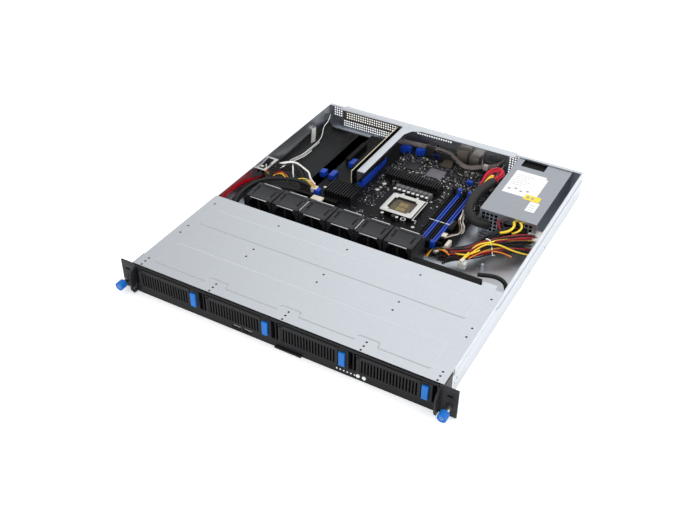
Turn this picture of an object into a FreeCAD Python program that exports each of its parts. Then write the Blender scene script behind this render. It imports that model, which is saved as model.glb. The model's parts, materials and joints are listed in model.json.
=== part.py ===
import FreeCAD, Part
import math
import os
import re
import Sketcher
from FreeCAD import Rotation, Vector

# A 1U rack server with its rear lid off: a steel chassis with rack ears, four hot-swap drive trays
# behind grilles, a wall of six fans, a motherboard, a riser for one expansion card and a power supply.
# Millimetres. X runs to the right seen from the front, Y from the front to the back, Z up.
# The origin is the middle of the chassis floor's underside.

# alias, value, what it is
SIZES = [
    ("body_width", 444, "outer width of the chassis"),
    ("body_depth", 515, "rack face of the ears to the back of the rear wall"),
    ("body_tall", 43.9, "floor underside to the top of the lids"),
    ("chassis_sheet", 1.2, "steel of the chassis"),
    ("cover_sheet", 1, "steel of the front lid"),
    ("seat_gap", 0.3, "gap between loose pieces and what carries them"),
    ("wall_step", 1.2, "how far the top of a side wall is set in"),
    ("front_step_z", 33, "height of that step beside the front lid"),
    ("rear_step_z", 28.5, "height of that step beside the open bay"),
    ("step_change", 168, "front face to where the step changes height"),
    ("wall_front", 2, "front face to the front edge of the chassis"),
    ("rim_flange", 6, "inward flange along the top of the rear wall"),
    ("cover_front", 2.3, "front face to the lid's front edge"),
    ("cover_rear", 185, "front face to the lid's rear edge"),
    ("skirt_front", 33, "front face to the start of the lid's side skirt"),
    ("skirt_rear", 158, "front face to the end of the lid's side skirt"),
    ("skirt_z", 33.6, "height of the skirt's lower edge"),
    ("cover_tab_x", 200.5, "middle of the lid's rear tab"),
    ("cover_tab_width", 19, "width of the lid's rear tab"),
    ("cover_tab_long", 9, "how far that tab reaches back"),
    ("panel_rise", 0.5, "height of the panels pressed into the lid"),
    ("panel_half", 199, "half the width of those panels"),
    ("front_panel_y", 16.5, "front face to the front panel's near edge"),
    ("front_panel_long", 49.5, "front panel, front to back"),
    ("front_panel_notch", 9.5, "depth of the notches round the screw rows"),
    ("notch_half", 14.5, "half the width of those notches"),
    ("rear_panel_y", 115, "front face to the rear panel's near edge"),
    ("rear_panel_long", 39.5, "rear panel, front to back"),
    ("panel_corner", 4, "corner radius of the pressed panels"),
    ("screw_hole_r", 1.5, "radius of the screw holes in the lid"),
    ("screw_row_first", -210.5, "x of the first column of screw holes"),
    ("screw_column_pitch", 108.3, "distance between the columns"),
    ("screw_end_inset", 9.4, "last column, in from the lid's right edge"),
    ("front_screw_y", 5, "front face to the first of three holes"),
    ("front_screw_pitch", 7.4, "distance between those three holes"),
    ("middle_screw_y", 86.5, "front face to the first of two holes"),
    ("middle_screw_pitch", 17.5, "distance between those two holes"),
    ("rear_screw_y", 165.5, "front face to the rear holes"),
    ("bay_pitch", 108.3, "distance from one drive bay to the next"),
    ("bay_floor", 13, "height of the drive bays' floor"),
    ("bay_top", 41.3, "height of the drive bays' ceiling"),
    ("divider", 1.2, "sheet of the bay guides"),
    ("guide_depth", 166, "bay guides, front to back"),
    ("runner_width", 11.4, "width of the runners under a tray"),
    ("front_strip", 58, "front cross strip of a bay, front to back"),
    ("rear_strip", 28, "rear cross strip of a bay, front to back"),
    ("bezel_proud", 1.5, "how far the bezel stands in front of the ears"),
    ("bezel_thick", 3, "thickness of the bezel"),
    ("bezel_bottom", 0.6, "height of the bezel's lower edge"),
    ("bezel_top", 42.6, "height of the bezel's upper edge"),
    ("panel_width", 482.6, "width over the rack ears"),
    ("ear_sheet", 2, "thickness of the rack ears"),
    ("ear_bottom", 0.6, "height of the ears' lower edge"),
    ("ear_tall", 43, "height of the ears"),
    ("ear_side_long", 23, "length of the ears' side flange"),
    ("ear_hole_x", 231.5, "middle of the chassis to the rack screws"),
    ("rack_screw_z", 15.5, "height of the rack screws"),
    ("rack_hole_pitch", 15.875, "distance between rack holes"),
    ("ear_slot_half", 4, "half the length of the ears' slot"),
    ("ear_slot_r", 1.6, "half the height of that slot"),
    ("fin_inset", 3.3, "handle fin, in from the chassis side"),
    ("fin_thick", 2.2, "thickness of the handle fins"),
    ("fin_reach", 12.7, "how far the handle fins stand out"),
    ("fin_top", 40, "height of the handle fins' upper end"),
    ("fin_low", 2, "height of the handle fins' lower end"),
    ("ferrule_r", 5, "radius of the rack screws' ferrules"),
    ("ferrule_thick", 1.4, "thickness of those ferrules"),
    ("sleeve_r", 3.4, "radius of the sleeve round a rack screw"),
    ("sleeve_wall", 0.7, "wall of that sleeve"),
    ("running_gap", 0.2, "radial play of pins and sliding sleeves"),
    ("screw_travel", 6.5, "how far a rack screw pushes in"),
    ("knob_r", 6, "radius of the rack screws' knobs"),
    ("knob_long", 9.5, "length of those knobs"),
    ("knob_flutes", 14, "grip flutes round a knob"),
    ("flute_r", 0.55, "radius of a grip flute"),
    ("tray_gap", 1, "play at each side of a drive tray"),
    ("tray_long", 158, "drive tray, front to back"),
    ("tray_tall", 27.4, "height of a tray's front"),
    ("tray_sheet", 1.6, "wall of a tray"),
    ("tray_rail_tall", 12, "height of a tray's side rails"),
    ("tray_front_deep", 9, "depth of a tray's front frame"),
    ("frame_left", 6.6, "left edge of a tray's front to its air opening"),
    ("frame_bar", 3, "bars above and below that opening"),
    ("tray_ledge", 6.4, "width of the ledges along a tray's rails"),
    ("tray_strip", 12, "cross strips of a tray, front to back"),
    ("tray_front_inset", 2.2, "tray front, in from the tray's left side"),
    ("tray_front_width", 98.2, "width of a tray's front"),
    ("tray_travel", 160, "how far a tray slides out"),
    ("post_width", 13.8, "width of the post that holds the latch button"),
    ("hinge_inset", 3, "lever pin, in from the tray front's left edge"),
    ("pin_r", 1.1, "radius of the lever pin"),
    ("barrel_r", 2.7, "radius of the lever's barrel"),
    ("pin_y", -1.1, "front face to the lever pin"),
    ("tray_front_y", 2.2, "front face to the tray's front frame"),
    ("post_proud", 2, "how far the post stands in front of the ears"),
    ("lever_thick", 3, "thickness of a lever"),
    ("lever_edge", 0.5, "lever's play above, below and at its free end"),
    ("hinge_ear_tall", 2.6, "height of the ears that hold the lever pin"),
    ("slot_count", 18, "ventilation slots in a lever"),
    ("slot_wide", 2.2, "width of a ventilation slot"),
    ("slot_tall", 20.5, "height of a ventilation slot"),
    ("slot_low", 1.6, "lever's lower edge to the slots"),
    ("slot_start", 4.2, "lever pin to the first slot"),
    ("slot_span", 70.4, "first slot to the last"),
    ("button_width", 8.1, "width of a latch button"),
    ("button_tall", 20.5, "height of a latch button"),
    ("button_proud", 3, "how far a latch button stands out of its post"),
    ("button_long", 9, "latch button, front to back"),
    ("button_travel", 2, "travel of a latch button"),
    ("button_inset", 1.4, "latch button, in from its post's left side"),
    ("button_low", 2.2, "tray front's lower edge to the latch button"),
    ("key_z", 7.2, "height of the round push buttons"),
    ("key_r", 2.6, "radius of the round push buttons"),
    ("key_travel", 0.8, "travel of the round push buttons"),
    ("power_x", 123.1, "x of the power button"),
    ("locate_x", 115, "x of the locator button"),
    ("led_first_x", 86, "x of the first status light"),
    ("led_pitch", 4.85, "distance between status lights"),
    ("led_count", 6, "number of status lights"),
    ("led_r", 1, "radius of a status light"),
    ("led_z", 6.4, "height of the status lights"),
    ("usb_x", -51, "middle of the pair of front USB sockets"),
    ("usb_pitch", 17, "distance between those sockets"),
    ("usb_width", 13.2, "width of a USB socket"),
    ("usb_tall", 5.8, "height of a USB socket"),
    ("usb_deep", 14, "depth of a USB socket"),
    ("usb_z", 3.4, "height of the USB sockets' underside"),
    ("tag_x", 18, "middle of the pull-out tag"),
    ("tag_width", 34, "width of the pull-out tag"),
    ("tag_thick", 1.2, "thickness of the pull-out tag"),
    ("tag_long", 52, "length of the pull-out tag"),
    ("tag_travel", 38, "how far the tag pulls out"),
    ("backplane_y", 172, "front face to the backplane"),
    ("backplane_half", 212, "half the width of the backplane"),
    ("board_thick", 1.6, "thickness of the circuit boards"),
    ("backplane_tall", 38.5, "height of the backplane"),
    ("drive_socket_width", 36, "width of a drive socket"),
    ("drive_socket_tall", 6, "height of a drive socket"),
    ("drive_socket_deep", 6.5, "depth of a drive socket"),
    ("fan_pitch", 45.1, "distance between fans"),
    ("fan_first_x", -167.9, "x of the first fan"),
    ("fan_width", 42.6, "width of a fan's frame"),
    ("fan_deep", 37, "fan frame, front to back"),
    ("fan_tall", 39.2, "height of a fan's frame"),
    ("fan_rear_gap", 12.5, "fans to the motherboard"),
    ("fan_bore_r", 18.4, "radius of a fan's bore"),
    ("hub_r", 9.2, "radius of a rotor's hub"),
    ("rotor_long", 22, "length of a rotor"),
    ("rotor_inset", 6, "fan's front to its rotor"),
    ("blade_gap", 0.7, "gap between blade tips and bore"),
    ("blade_count", 7, "blades of a rotor"),
    ("blade_thick", 1.1, "thickness of a blade"),
    ("blade_pitch", 0.45, "rise of a blade for each unit of its length along the axis"),
    ("cage_wall", 0.9, "sheet of the fan cage"),
    ("cage_tall", 35.5, "height of the fan cage's walls"),
    ("cage_lip", 3, "depth of the fan cage's cross rails"),
    ("cage_rail_tall", 7, "height of the fan cage's cross rails"),
    ("main_right", 107, "right edge of the motherboard"),
    ("main_rear_gap", 7.8, "rear wall to the motherboard"),
    ("main_width", 244, "width of the motherboard"),
    ("main_deep", 244, "motherboard, front to back"),
    ("main_z", 6.4, "underside of the motherboard"),
    ("standoff_r", 3.2, "radius of the motherboard's standoffs"),
    ("fixing_inset", 10, "side edges of the motherboard to its fixings"),
    ("socket_x", 6.2, "middle of the processor socket"),
    ("socket_y", 333.5, "front face to the middle of the processor socket"),
    ("frame_width", 52.4, "width of the socket's load plate"),
    ("frame_deep", 50, "load plate, front to back"),
    ("frame_thick", 1.4, "thickness of the load plate"),
    ("frame_z", 15.2, "underside of the load plate"),
    ("pivot_y", 27.5, "middle of the socket to the hinge of its plate"),
    ("pivot_z", 6, "height of that hinge above the board"),
    ("lug_r", 2.2, "radius of the lugs that carry the socket's lever"),
    ("lug_outer", 22, "middle of the socket to the outside of those lugs"),
    ("lug_wide", 4.5, "width of a lug"),
    ("package_width", 38, "opening of the load plate, across"),
    ("package_deep", 36, "opening of the load plate, front to back"),
    ("wire_r", 1, "radius of the socket's load lever"),
    ("dimm_first_x", 59.2, "x of the first memory slot"),
    ("dimm_pitch", 8.4, "distance between memory slots"),
    ("dimm_count", 4, "number of memory slots"),
    ("dimm_front", 268, "front face to the memory slots"),
    ("dimm_long", 139, "length of a memory slot"),
    ("dimm_wide", 6.2, "width of a memory slot"),
    ("dimm_tall", 8.6, "height of a memory slot"),
    ("latch_tall", 16, "height of a memory latch"),
    ("latch_deep", 6, "memory latch, front to back"),
    ("vrm_x", -8, "middle of the regulator heatsink"),
    ("vrm_y", 392, "front face to the regulator heatsink"),
    ("vrm_width", 90, "width of the regulator heatsink"),
    ("vrm_deep", 21, "regulator heatsink, front to back"),
    ("vrm_tall", 14, "height of the regulator heatsink"),
    ("fin_count", 22, "fins of the regulator heatsink"),
    ("hub_sink_inset", 49, "left edge of the motherboard to the middle of the chipset heatsink"),
    ("hub_sink_y", 303, "front face to the chipset heatsink"),
    ("hub_sink_width", 46, "width of the chipset heatsink"),
    ("hub_sink_deep", 38, "chipset heatsink, front to back"),
    ("hub_sink_tall", 15, "height of the chipset heatsink"),
    ("riser_x", -87.5, "x of the riser board"),
    ("riser_front", 346, "front face to the riser board"),
    ("riser_long", 158, "riser board, front to back"),
    ("riser_top", 40, "height of the riser board's top edge"),
    ("riser_bottom", 12, "height of the riser board's lower edge"),
    ("x16_tall", 11, "height of the slot that the riser board plugs into"),
    ("foot_tall", 6, "height of the riser board's foot"),
    ("strip_left", -77.6, "left edge of the riser bracket's strip"),
    ("strip_width", 12.6, "width of that strip"),
    ("strip_front", 345, "front face to that strip"),
    ("band_left", -193, "left end of the riser bracket's rear band"),
    ("band_right", 115, "right end of that band"),
    ("band_front", 501, "front face to that band"),
    ("band_over", 1.5, "how far the band reaches past the rear wall"),
    ("strip_corner", 22, "inner corner between strip and band"),
    ("window_left", -193, "left edge of the card window in the rear wall"),
    ("window_width", 101, "width of the card window"),
    ("window_z", 21, "height of the card window's lower edge"),
    ("window_tall", 17, "height of the card window"),
    ("liner_left", -205, "left edge of the insulating sheet"),
    ("liner_gap", 2, "insulating sheet to the motherboard"),
    ("liner_long", 172, "insulating sheet, front to back"),
    ("liner_rear", 7, "rear face to the insulating sheet"),
    ("psu_gap", 14, "motherboard to the power supply"),
    ("psu_width", 85, "width of the power supply"),
    ("psu_front", 350, "front face to the power supply"),
    ("psu_tall", 39.5, "height of the power supply"),
    ("psu_fan_x", 180, "x of the power supply's fan"),
    ("psu_fan_z", 21.2, "height of the power supply's fan"),
    ("psu_fan_r", 17.5, "radius of the power supply's fan duct"),
    ("inlet_x", 143, "middle of the mains inlet"),
    ("inlet_width", 24, "width of the mains inlet's socket"),
    ("inlet_tall", 16.5, "height of the mains inlet's socket"),
    ("vent_hole", 2.6, "side of a vent hole"),
    ("vent_pitch", 4.2, "distance between vent holes"),
    ("switch_y", 284, "front face to the lid switch"),
    ("switch_long", 38, "lid switch bracket, front to back"),
    ("switch_reach", 16, "how far that bracket reaches from the wall"),
    ("switch_top", 37.5, "height of that bracket"),
    ("sleeve_cable_r", 5, "radius of the motherboard's sleeved power cable"),
    ("harness_r", 3, "radius of the drive and fan cables"),
    ("data_cable_r", 2.2, "radius of the data cables"),
    ("panel_cable_r", 2.5, "radius of the front panel's cable"),
    ("lead_r", 1.6, "radius of the thin leads"),
]
VALUES = {alias: value for alias, value, meaning in SIZES}
s = type("Sizes", (), VALUES)

# Places worked out from those sizes, as formulas.
PLACES = {
    "lever_long": "(post_left - lever_edge - pin_x)",
    "lever_left": "(sqrt(barrel_r ^ 2 + (lever_thick / 2) ^ 2) + seat_gap)",
    "post_left": "(tray_front_inset + tray_front_width - post_width)",
    "pin_x": "(tray_front_inset + hinge_inset)",
    "ear_inner": "(half_width - fin_inset - fin_thick / 2)",
    "half_width": "(body_width / 2)",
    "front": "(0 - body_depth / 2)",
    "back": "(body_depth / 2)",
    "floor_top": "chassis_sheet",
    "seat": "(chassis_sheet + seat_gap)",
    "wall_top": "(body_tall - cover_sheet - 0.2)",
    "first_bay": "(0 - 2 * bay_pitch)",
    "tray_width": "(bay_pitch - divider - 2 * tray_gap)",
    "tray_z": "(bay_floor + seat_gap)",
    "main_top": "(main_z + board_thick)",
    "fan_front": "(main_front - fan_rear_gap - fan_deep)",
    "main_front": "(body_depth - chassis_sheet - main_rear_gap - main_deep)",
    "hub_sink_x": "(main_left + hub_sink_inset)",
    "main_left": "(main_right - main_width)",
    "psu_left": "(main_right + psu_gap)",
    "duct_z": "(chassis_sheet + seat_gap + fan_tall / 2)",
    "bezel_back": "(bezel_thick - bezel_proud)",
}

doc = FreeCAD.newDocument("RackServer")
sheet = doc.addObject("Spreadsheet::Sheet", "Sizes")
for row, (alias, value, meaning) in enumerate(SIZES, 1):
    sheet.set(f"A{row}", meaning)
    sheet.set(f"B{row}", str(value))
    sheet.setAlias(f"B{row}", alias)
doc.recompute()

NORMAL_SIGN = {"XY": 1, "XZ": -1, "YZ": 1}
AXIS_TURN = {
    "x": Rotation(Vector(0, 1, 0), 90),
    "y": Rotation(Vector(1, 0, 0), -90),
    "z": Rotation(),
}
NODES = []


# ---------------------------------------------------------------- formulas


def ex(formula):
    """A formula in the names of sizes and places, as the document's expression."""
    text = str(formula)
    for place, meaning in PLACES.items():
        text = re.sub(rf"\b{place}\b", meaning, text)
    return re.sub(r"[a-z]\w*", lambda m: f"Sizes.{m[0]}" if m[0] in VALUES else m[0], text)


def put_at(thing, at, turn=None):
    """Places an object: its lowest corner or its centre, as formulas."""
    if turn is not None:
        thing.Placement = FreeCAD.Placement(Vector(), turn)
    for axis, formula in zip("xyz", at):
        thing.setExpression(f"Placement.Base.{axis}", ex(formula))
    return thing


def node(thing, name):
    """Makes an object one of the sub-parts that are written out."""
    thing.Label = name
    NODES.append(thing)
    return thing


# ---------------------------------------------------------------- bodies made from sketches


def raw_body(name, at):
    return put_at(doc.addObject("PartDesign::Body", name), at)


def body(name, at):
    return node(raw_body(name, at), name)


def origin_of(item, role):
    return next(f for f in item.Origin.OriginFeatures if f.Role == role)


def rect(x, y, width, height):
    return [(x, y), (f"{x} + {width}", y), (f"{x} + {width}", f"{y} + {height}"), (x, f"{y} + {height}")]


def fix_point(sketch, curve, point, x, y):
    for kind, formula in (("DistanceX", x), ("DistanceY", y)):
        k = sketch.addConstraint(Sketcher.Constraint(kind, -1, 1, curve, point, 1))
        sketch.setExpression(f"Constraints[{k}]", ex(formula))


def draw_polygon(sketch, corners):
    first = sketch.GeometryCount
    count = len(corners)
    for i in range(count):
        a = 2 * math.pi * i / count
        b = 2 * math.pi * (i + 1) / count
        start = Vector(math.cos(a), math.sin(a), 0)
        sketch.addGeometry(Part.LineSegment(start, Vector(math.cos(b), math.sin(b), 0)))
    for i in range(count):
        sketch.addConstraint(Sketcher.Constraint("Coincident", first + i, 2, first + (i + 1) % count, 1))
    for i, (x, y) in enumerate(corners):
        fix_point(sketch, first + i, 1, x, y)


def draw_disc(sketch, x, y, radius):
    k = sketch.addGeometry(Part.Circle(Vector(), Vector(0, 0, 1), 1))
    fix_point(sketch, k, 3, x, y)
    r = sketch.addConstraint(Sketcher.Constraint("Radius", k, 1))
    sketch.setExpression(f"Constraints[{r}]", ex(radius))


def outline(item, plane, loops, start="0"):
    """A sketch on an origin plane, moved along that plane's axis by start."""
    sketch = item.newObject("Sketcher::SketchObject", "Outline")
    sketch.AttachmentSupport = [(origin_of(item, f"{plane}_Plane"), "")]
    sketch.MapMode = "FlatFace"
    sketch.setExpression("AttachmentOffset.Base.z", ex(f"({start}) * {NORMAL_SIGN[plane]}"))
    for loop in loops:
        if isinstance(loop, tuple):
            draw_disc(sketch, *loop)
        else:
            draw_polygon(sketch, loop)
    return sketch


def pad(item, plane, loops, length, start="0"):
    """Adds material from start, towards the axis, over length."""
    sketch = outline(item, plane, loops, start)
    feature = item.newObject("PartDesign::Pad", "Pad")
    feature.Profile = sketch
    feature.setExpression("Length", ex(length))
    feature.Reversed = NORMAL_SIGN[plane] < 0
    return feature


def pocket(item, plane, loops, length, start="0"):
    """Cuts material from start, towards the axis, over length."""
    sketch = outline(item, plane, loops, start)
    feature = item.newObject("PartDesign::Pocket", "Pocket")
    feature.Profile = sketch
    feature.setExpression("Length", ex(length))
    feature.Reversed = NORMAL_SIGN[plane] > 0
    return feature


def repeat(item, feature, axis, span, count):
    """Repeats a feature along an axis; count copies share the span."""
    pattern = item.newObject("PartDesign::LinearPattern", "Row")
    pattern.Originals = [feature]
    pattern.Direction = (origin_of(item, f"{axis}_Axis"), [""])
    pattern.setExpression("Length", ex(span))
    pattern.setExpression("Occurrences", ex(count))
    item.Tip = pattern
    return pattern


def round_edges(item, feature, radius, chosen):
    """Fillets the edges of a feature for which chosen(edge) is true."""
    doc.recompute()
    names = [f"Edge{i}" for i, edge in enumerate(feature.Shape.Edges, 1) if chosen(edge)]
    fillet = item.newObject("PartDesign::Fillet", "Fillet")
    fillet.Base = (feature, names)
    fillet.setExpression("Radius", ex(radius))
    return fillet


def upright(low, high):
    """Chooses the vertical edges that lie between two heights."""

    def chosen(edge):
        box = edge.BoundBox
        return box.XLength + box.YLength < 0.01 and box.ZMin > low - 0.01 and box.ZMax < high + 0.01

    return chosen


# ---------------------------------------------------------------- simple solids


def block(at, size):
    solid = doc.addObject("Part::Box", "Block")
    for side, formula in zip(("Length", "Width", "Height"), size):
        solid.setExpression(side, ex(formula))
    return put_at(solid, at)


def rod(at, radius, length, axis="z"):
    solid = doc.addObject("Part::Cylinder", "Rod")
    solid.setExpression("Radius", ex(radius))
    solid.setExpression("Height", ex(length))
    return put_at(solid, at, AXIS_TURN[axis])


def fused(pieces, name="Union"):
    union = doc.addObject("Part::MultiFuse", name)
    union.Shapes = pieces
    return union


def minus(base, tools, name="Cut"):
    result = doc.addObject("Part::Cut", name)
    result.Base = base
    result.Tool = tools[0] if len(tools) == 1 else fused(tools, "Tools")
    return result


def group(name, pieces):
    """Several separate solids in one sub-part."""
    compound = doc.addObject("Part::Compound", name)
    compound.Links = pieces
    return node(compound, name)


# ---------------------------------------------------------------- chassis

# Openings for the ports: middle x, width, height above the board.
PORTS = [(-25, 15, 16), (2, 31, 12.5), (31.5, 18.5, 26), (52, 17, 20), (78, 17, 20)]
# Motherboard fixings, from its front left corner.
STANDOFFS = [
    ("fixing_inset", "16"),
    ("main_width / 2", "16"),
    ("main_width - fixing_inset", "16"),
    ("fixing_inset", "main_deep / 2 - 2"),
    ("main_width - fixing_inset", "main_deep / 2 + 28"),
    ("fixing_inset", "main_deep - 20"),
    ("main_width / 2", "main_deep - 8"),
    ("main_width - fixing_inset", "main_deep - 8"),
]
# Vent fields in the rear wall: left x, columns, bottom z, rows.
VENTS = [(-195, 24, 7, 3), (-214, 4, 23, 4), (-57, 15, 30.5, 3), (104, 4, 7, 8)]
# Rail holes in each side wall: distance from the front face, height, radius.
RAIL_HOLES = [(290, 6.5, 2), (353, 6.5, 2), (37, 15.7, 1.4), (42, 20.5, 1.4), (257, 3.4, 1.1)]


def wall_profile(side, step_z):
    """Cross-section of a side wall: its top is set in, so that a lid's skirt lies flush."""
    outer = "half_width"
    upper = "(half_width - wall_step)"
    below = f"({step_z} - chassis_sheet)"
    points = [
        (outer, "0"),
        (outer, step_z),
        (upper, step_z),
        (upper, "wall_top"),
        (f"({upper} - chassis_sheet)", "wall_top"),
        (f"({upper} - chassis_sheet)", below),
        (f"({outer} - chassis_sheet)", below),
        (f"({outer} - chassis_sheet)", "0"),
    ]
    return [(f"{side} * {x}", z) for x, z in points]


def make_chassis():
    group("chassis_pan", [floor_pan(), rear_panel()])


def floor_pan():
    """The floor with its side walls, the board's standoffs and the fixings of the power supply and lid."""
    pan = raw_body("FloorPan", ("0", "front", "0"))
    pad(pan, "XY", [rect("0 - half_width", "wall_front", "body_width", "body_depth - wall_front")], "floor_top")
    fronts = [wall_profile(side, "front_step_z") for side in (-1, 1)]
    pad(pan, "XZ", fronts, "step_change - wall_front", "wall_front")
    rears = [wall_profile(side, "rear_step_z") for side in (-1, 1)]
    pad(pan, "XZ", rears, "body_depth - step_change + chassis_sheet", "step_change - chassis_sheet")
    posts = [(f"main_left + {x}", f"main_front + {y}", "standoff_r") for x, y in STANDOFFS]
    pad(pan, "XY", posts, "main_z")
    pad(pan, "XY", [rect("132", "psu_front - 15", "18", "14")], "3.5", "0")
    pad(pan, "XY", [("162.8", "265", "2.2")], "13", "0")
    for side_start in ("half_width - 2 * chassis_sheet", "0 - half_width - chassis_sheet"):
        pocket(pan, "YZ", RAIL_HOLES, "3 * chassis_sheet", side_start)
    return pan


def rear_panel():
    """The rear wall between the side walls: card window, port windows, vents and a rim for the lid."""
    panel = raw_body("RearPanel", ("0", "front", "0"))
    low, high = "(half_width - chassis_sheet)", "(half_width - wall_step - chassis_sheet)"
    shoulder = "rear_step_z - chassis_sheet"
    right = [(low, "floor_top"), (low, shoulder), (high, shoulder), (high, "wall_top")]
    left = [(f"0 - {x}", z) for x, z in reversed(right)]
    pad(panel, "XZ", [right + left], "chassis_sheet", "body_depth - chassis_sheet")
    rim = rect(f"0 - {high}", "wall_top - chassis_sheet", f"2 * {high}", "chassis_sheet")
    pad(panel, "XZ", [rim], "rim_flange", "body_depth - rim_flange")
    through = "3 * chassis_sheet"
    start = "body_depth - 2 * chassis_sheet"
    windows = [rect("window_left", "window_z", "window_width", "window_tall")]
    windows += [rect(f"{x} - {w} / 2", "main_top", w, tall) for x, w, tall in PORTS]
    windows.append(rect("psu_left + 3", "seat + 3", "psu_width - 6", "psu_tall - 6"))
    pocket(panel, "XZ", windows, through, start)
    for x, columns, z, rows in VENTS:
        column = [rect(x, f"{z} + {i} * vent_pitch", "vent_hole", "vent_hole") for i in range(rows)]
        holes = pocket(panel, "XZ", column, through, start)
        repeat(panel, holes, "X", f"{columns - 1} * vent_pitch", columns)
    return panel


def screw_columns():
    """The x of the lid's five columns of screw holes."""
    columns = [f"screw_row_first + {k} * screw_column_pitch" for k in range(4)]
    return columns + ["half_width - screw_end_inset"]


def make_front_cover():
    cover = body("front_cover", ("0", "front", "0"))
    under = "body_tall - cover_sheet"
    long = "cover_rear - cover_front"
    pad(cover, "XY", [rect("0 - half_width", "cover_front", "body_width", long)], "cover_sheet", under)
    skirt_tall = f"{under} - skirt_z"
    skirts = [
        rect("0 - half_width", "skirt_z", "cover_sheet", skirt_tall),
        rect("half_width - cover_sheet", "skirt_z", "cover_sheet", skirt_tall),
    ]
    pad(cover, "XZ", skirts, "skirt_rear - skirt_front", "skirt_front")
    tab = rect("cover_tab_x - cover_tab_width / 2", "cover_rear", "cover_tab_width", "cover_tab_long")
    pad(cover, "XY", [tab], "cover_sheet", under)
    y0 = "front_panel_y"
    notched = f"({y0} + front_panel_notch)"
    back = f"({y0} + front_panel_long)"
    edge = [("0 - panel_half", y0)]
    for x in screw_columns()[1:4]:
        edge += [(f"{x} - notch_half", y0), (f"{x} - notch_half", notched)]
        edge += [(f"{x} + notch_half", notched), (f"{x} + notch_half", y0)]
    edge += [("panel_half", y0), ("panel_half", back), ("0 - panel_half", back)]
    rear = rect("0 - panel_half", "rear_panel_y", "2 * panel_half", "rear_panel_long")
    panels = pad(cover, "XY", [edge, rear], "panel_rise", "body_tall")
    low = s.body_tall
    round_edges(cover, panels, "panel_corner", upright(low, low + s.panel_rise))
    holes = []
    for x in screw_columns():
        ys = [f"front_screw_y + {i} * front_screw_pitch" for i in range(3)]
        ys += [f"middle_screw_y + {i} * middle_screw_pitch" for i in range(2)] + ["rear_screw_y"]
        holes += [(x, y, "screw_hole_r") for y in ys]
    pocket(cover, "XY", holes, "3 * cover_sheet", f"{under} - cover_sheet")


# ---------------------------------------------------------------- front


def bay_left(k):
    return f"(first_bay + {k} * bay_pitch)"


def make_bezel():
    """The bezel: a strip below the bays, a bar above them and posts beside and between them."""
    half = "(ear_inner - seat_gap)"
    y = "front - bezel_proud"
    end_width = f"{bay_left(0)} + divider / 2 + {half}"
    posts = [(f"0 - {half}", end_width), (f"{bay_left(4)} - divider / 2", end_width)]
    posts += [(f"{bay_left(k)} - divider / 2", "divider") for k in range(1, 4)]
    pieces = [block((x, y, "bay_floor"), (width, "bezel_thick", "bay_top - bay_floor")) for x, width in posts]
    pieces.append(block((f"0 - {half}", y, "bay_top"), (f"2 * {half}", "bezel_thick", "bezel_top - bay_top")))
    group("front_bezel", [bezel_strip(half)] + pieces)


def bezel_strip(half):
    """The strip below the bays, with its openings."""
    bezel = raw_body("BezelStrip", ("0", "front", "0"))
    face = [rect(f"0 - {half}", "bezel_bottom", f"2 * {half}", "bay_floor - bezel_bottom")]
    pad(bezel, "XZ", face, "bezel_thick", "0 - bezel_proud")
    holes = [(x, "key_z", "key_r + running_gap") for x in ("power_x", "locate_x")]
    holes += [(f"led_first_x + {i} * led_pitch", "led_z", "led_r + 0.1") for i in range(s.led_count)]
    for i in range(2):
        x = f"usb_x + ({i} - 0.5) * usb_pitch - usb_width / 2 - running_gap"
        holes.append(rect(x, "usb_z - running_gap", "usb_width + 2 * running_gap", "usb_tall + 2 * running_gap"))
    slot_width = "tag_width + 2 * seat_gap"
    holes.append(rect("tag_x - tag_width / 2 - seat_gap", "floor_top", slot_width, "tag_thick + 2 * seat_gap"))
    pocket(bezel, "XZ", holes, "2 * bezel_thick", "0 - bezel_thick")
    return bezel


def make_bay_guides():
    """Dividers between the drive bays; in each bay two runners and two cross strips under the tray."""
    y = "front + wall_front"
    shelf = "(bay_floor - divider)"
    pieces = []
    for k in range(5):
        foot = "seat" if k in (0, 4) else shelf
        at = (f"{bay_left(k)} - divider / 2", y, foot)
        pieces.append(block(at, ("divider", "guide_depth", f"bay_top - {foot}")))
    for k in range(4):
        left = f"{bay_left(k)} + divider / 2"
        clear = "(bay_pitch - divider)"
        for x in (left, f"{left} + {clear} - runner_width"):
            pieces.append(block((x, y, shelf), ("runner_width", "guide_depth", "divider")))
        across = f"{clear} - 2 * runner_width"
        strips = (("0", "front_strip"), ("guide_depth - rear_strip", "rear_strip"))
        for near, long in strips:
            at = (f"{left} + runner_width", f"{y} + {near}", shelf)
            pieces.append(block(at, (across, long, "divider")))
    group("bay_guides", pieces)


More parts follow.
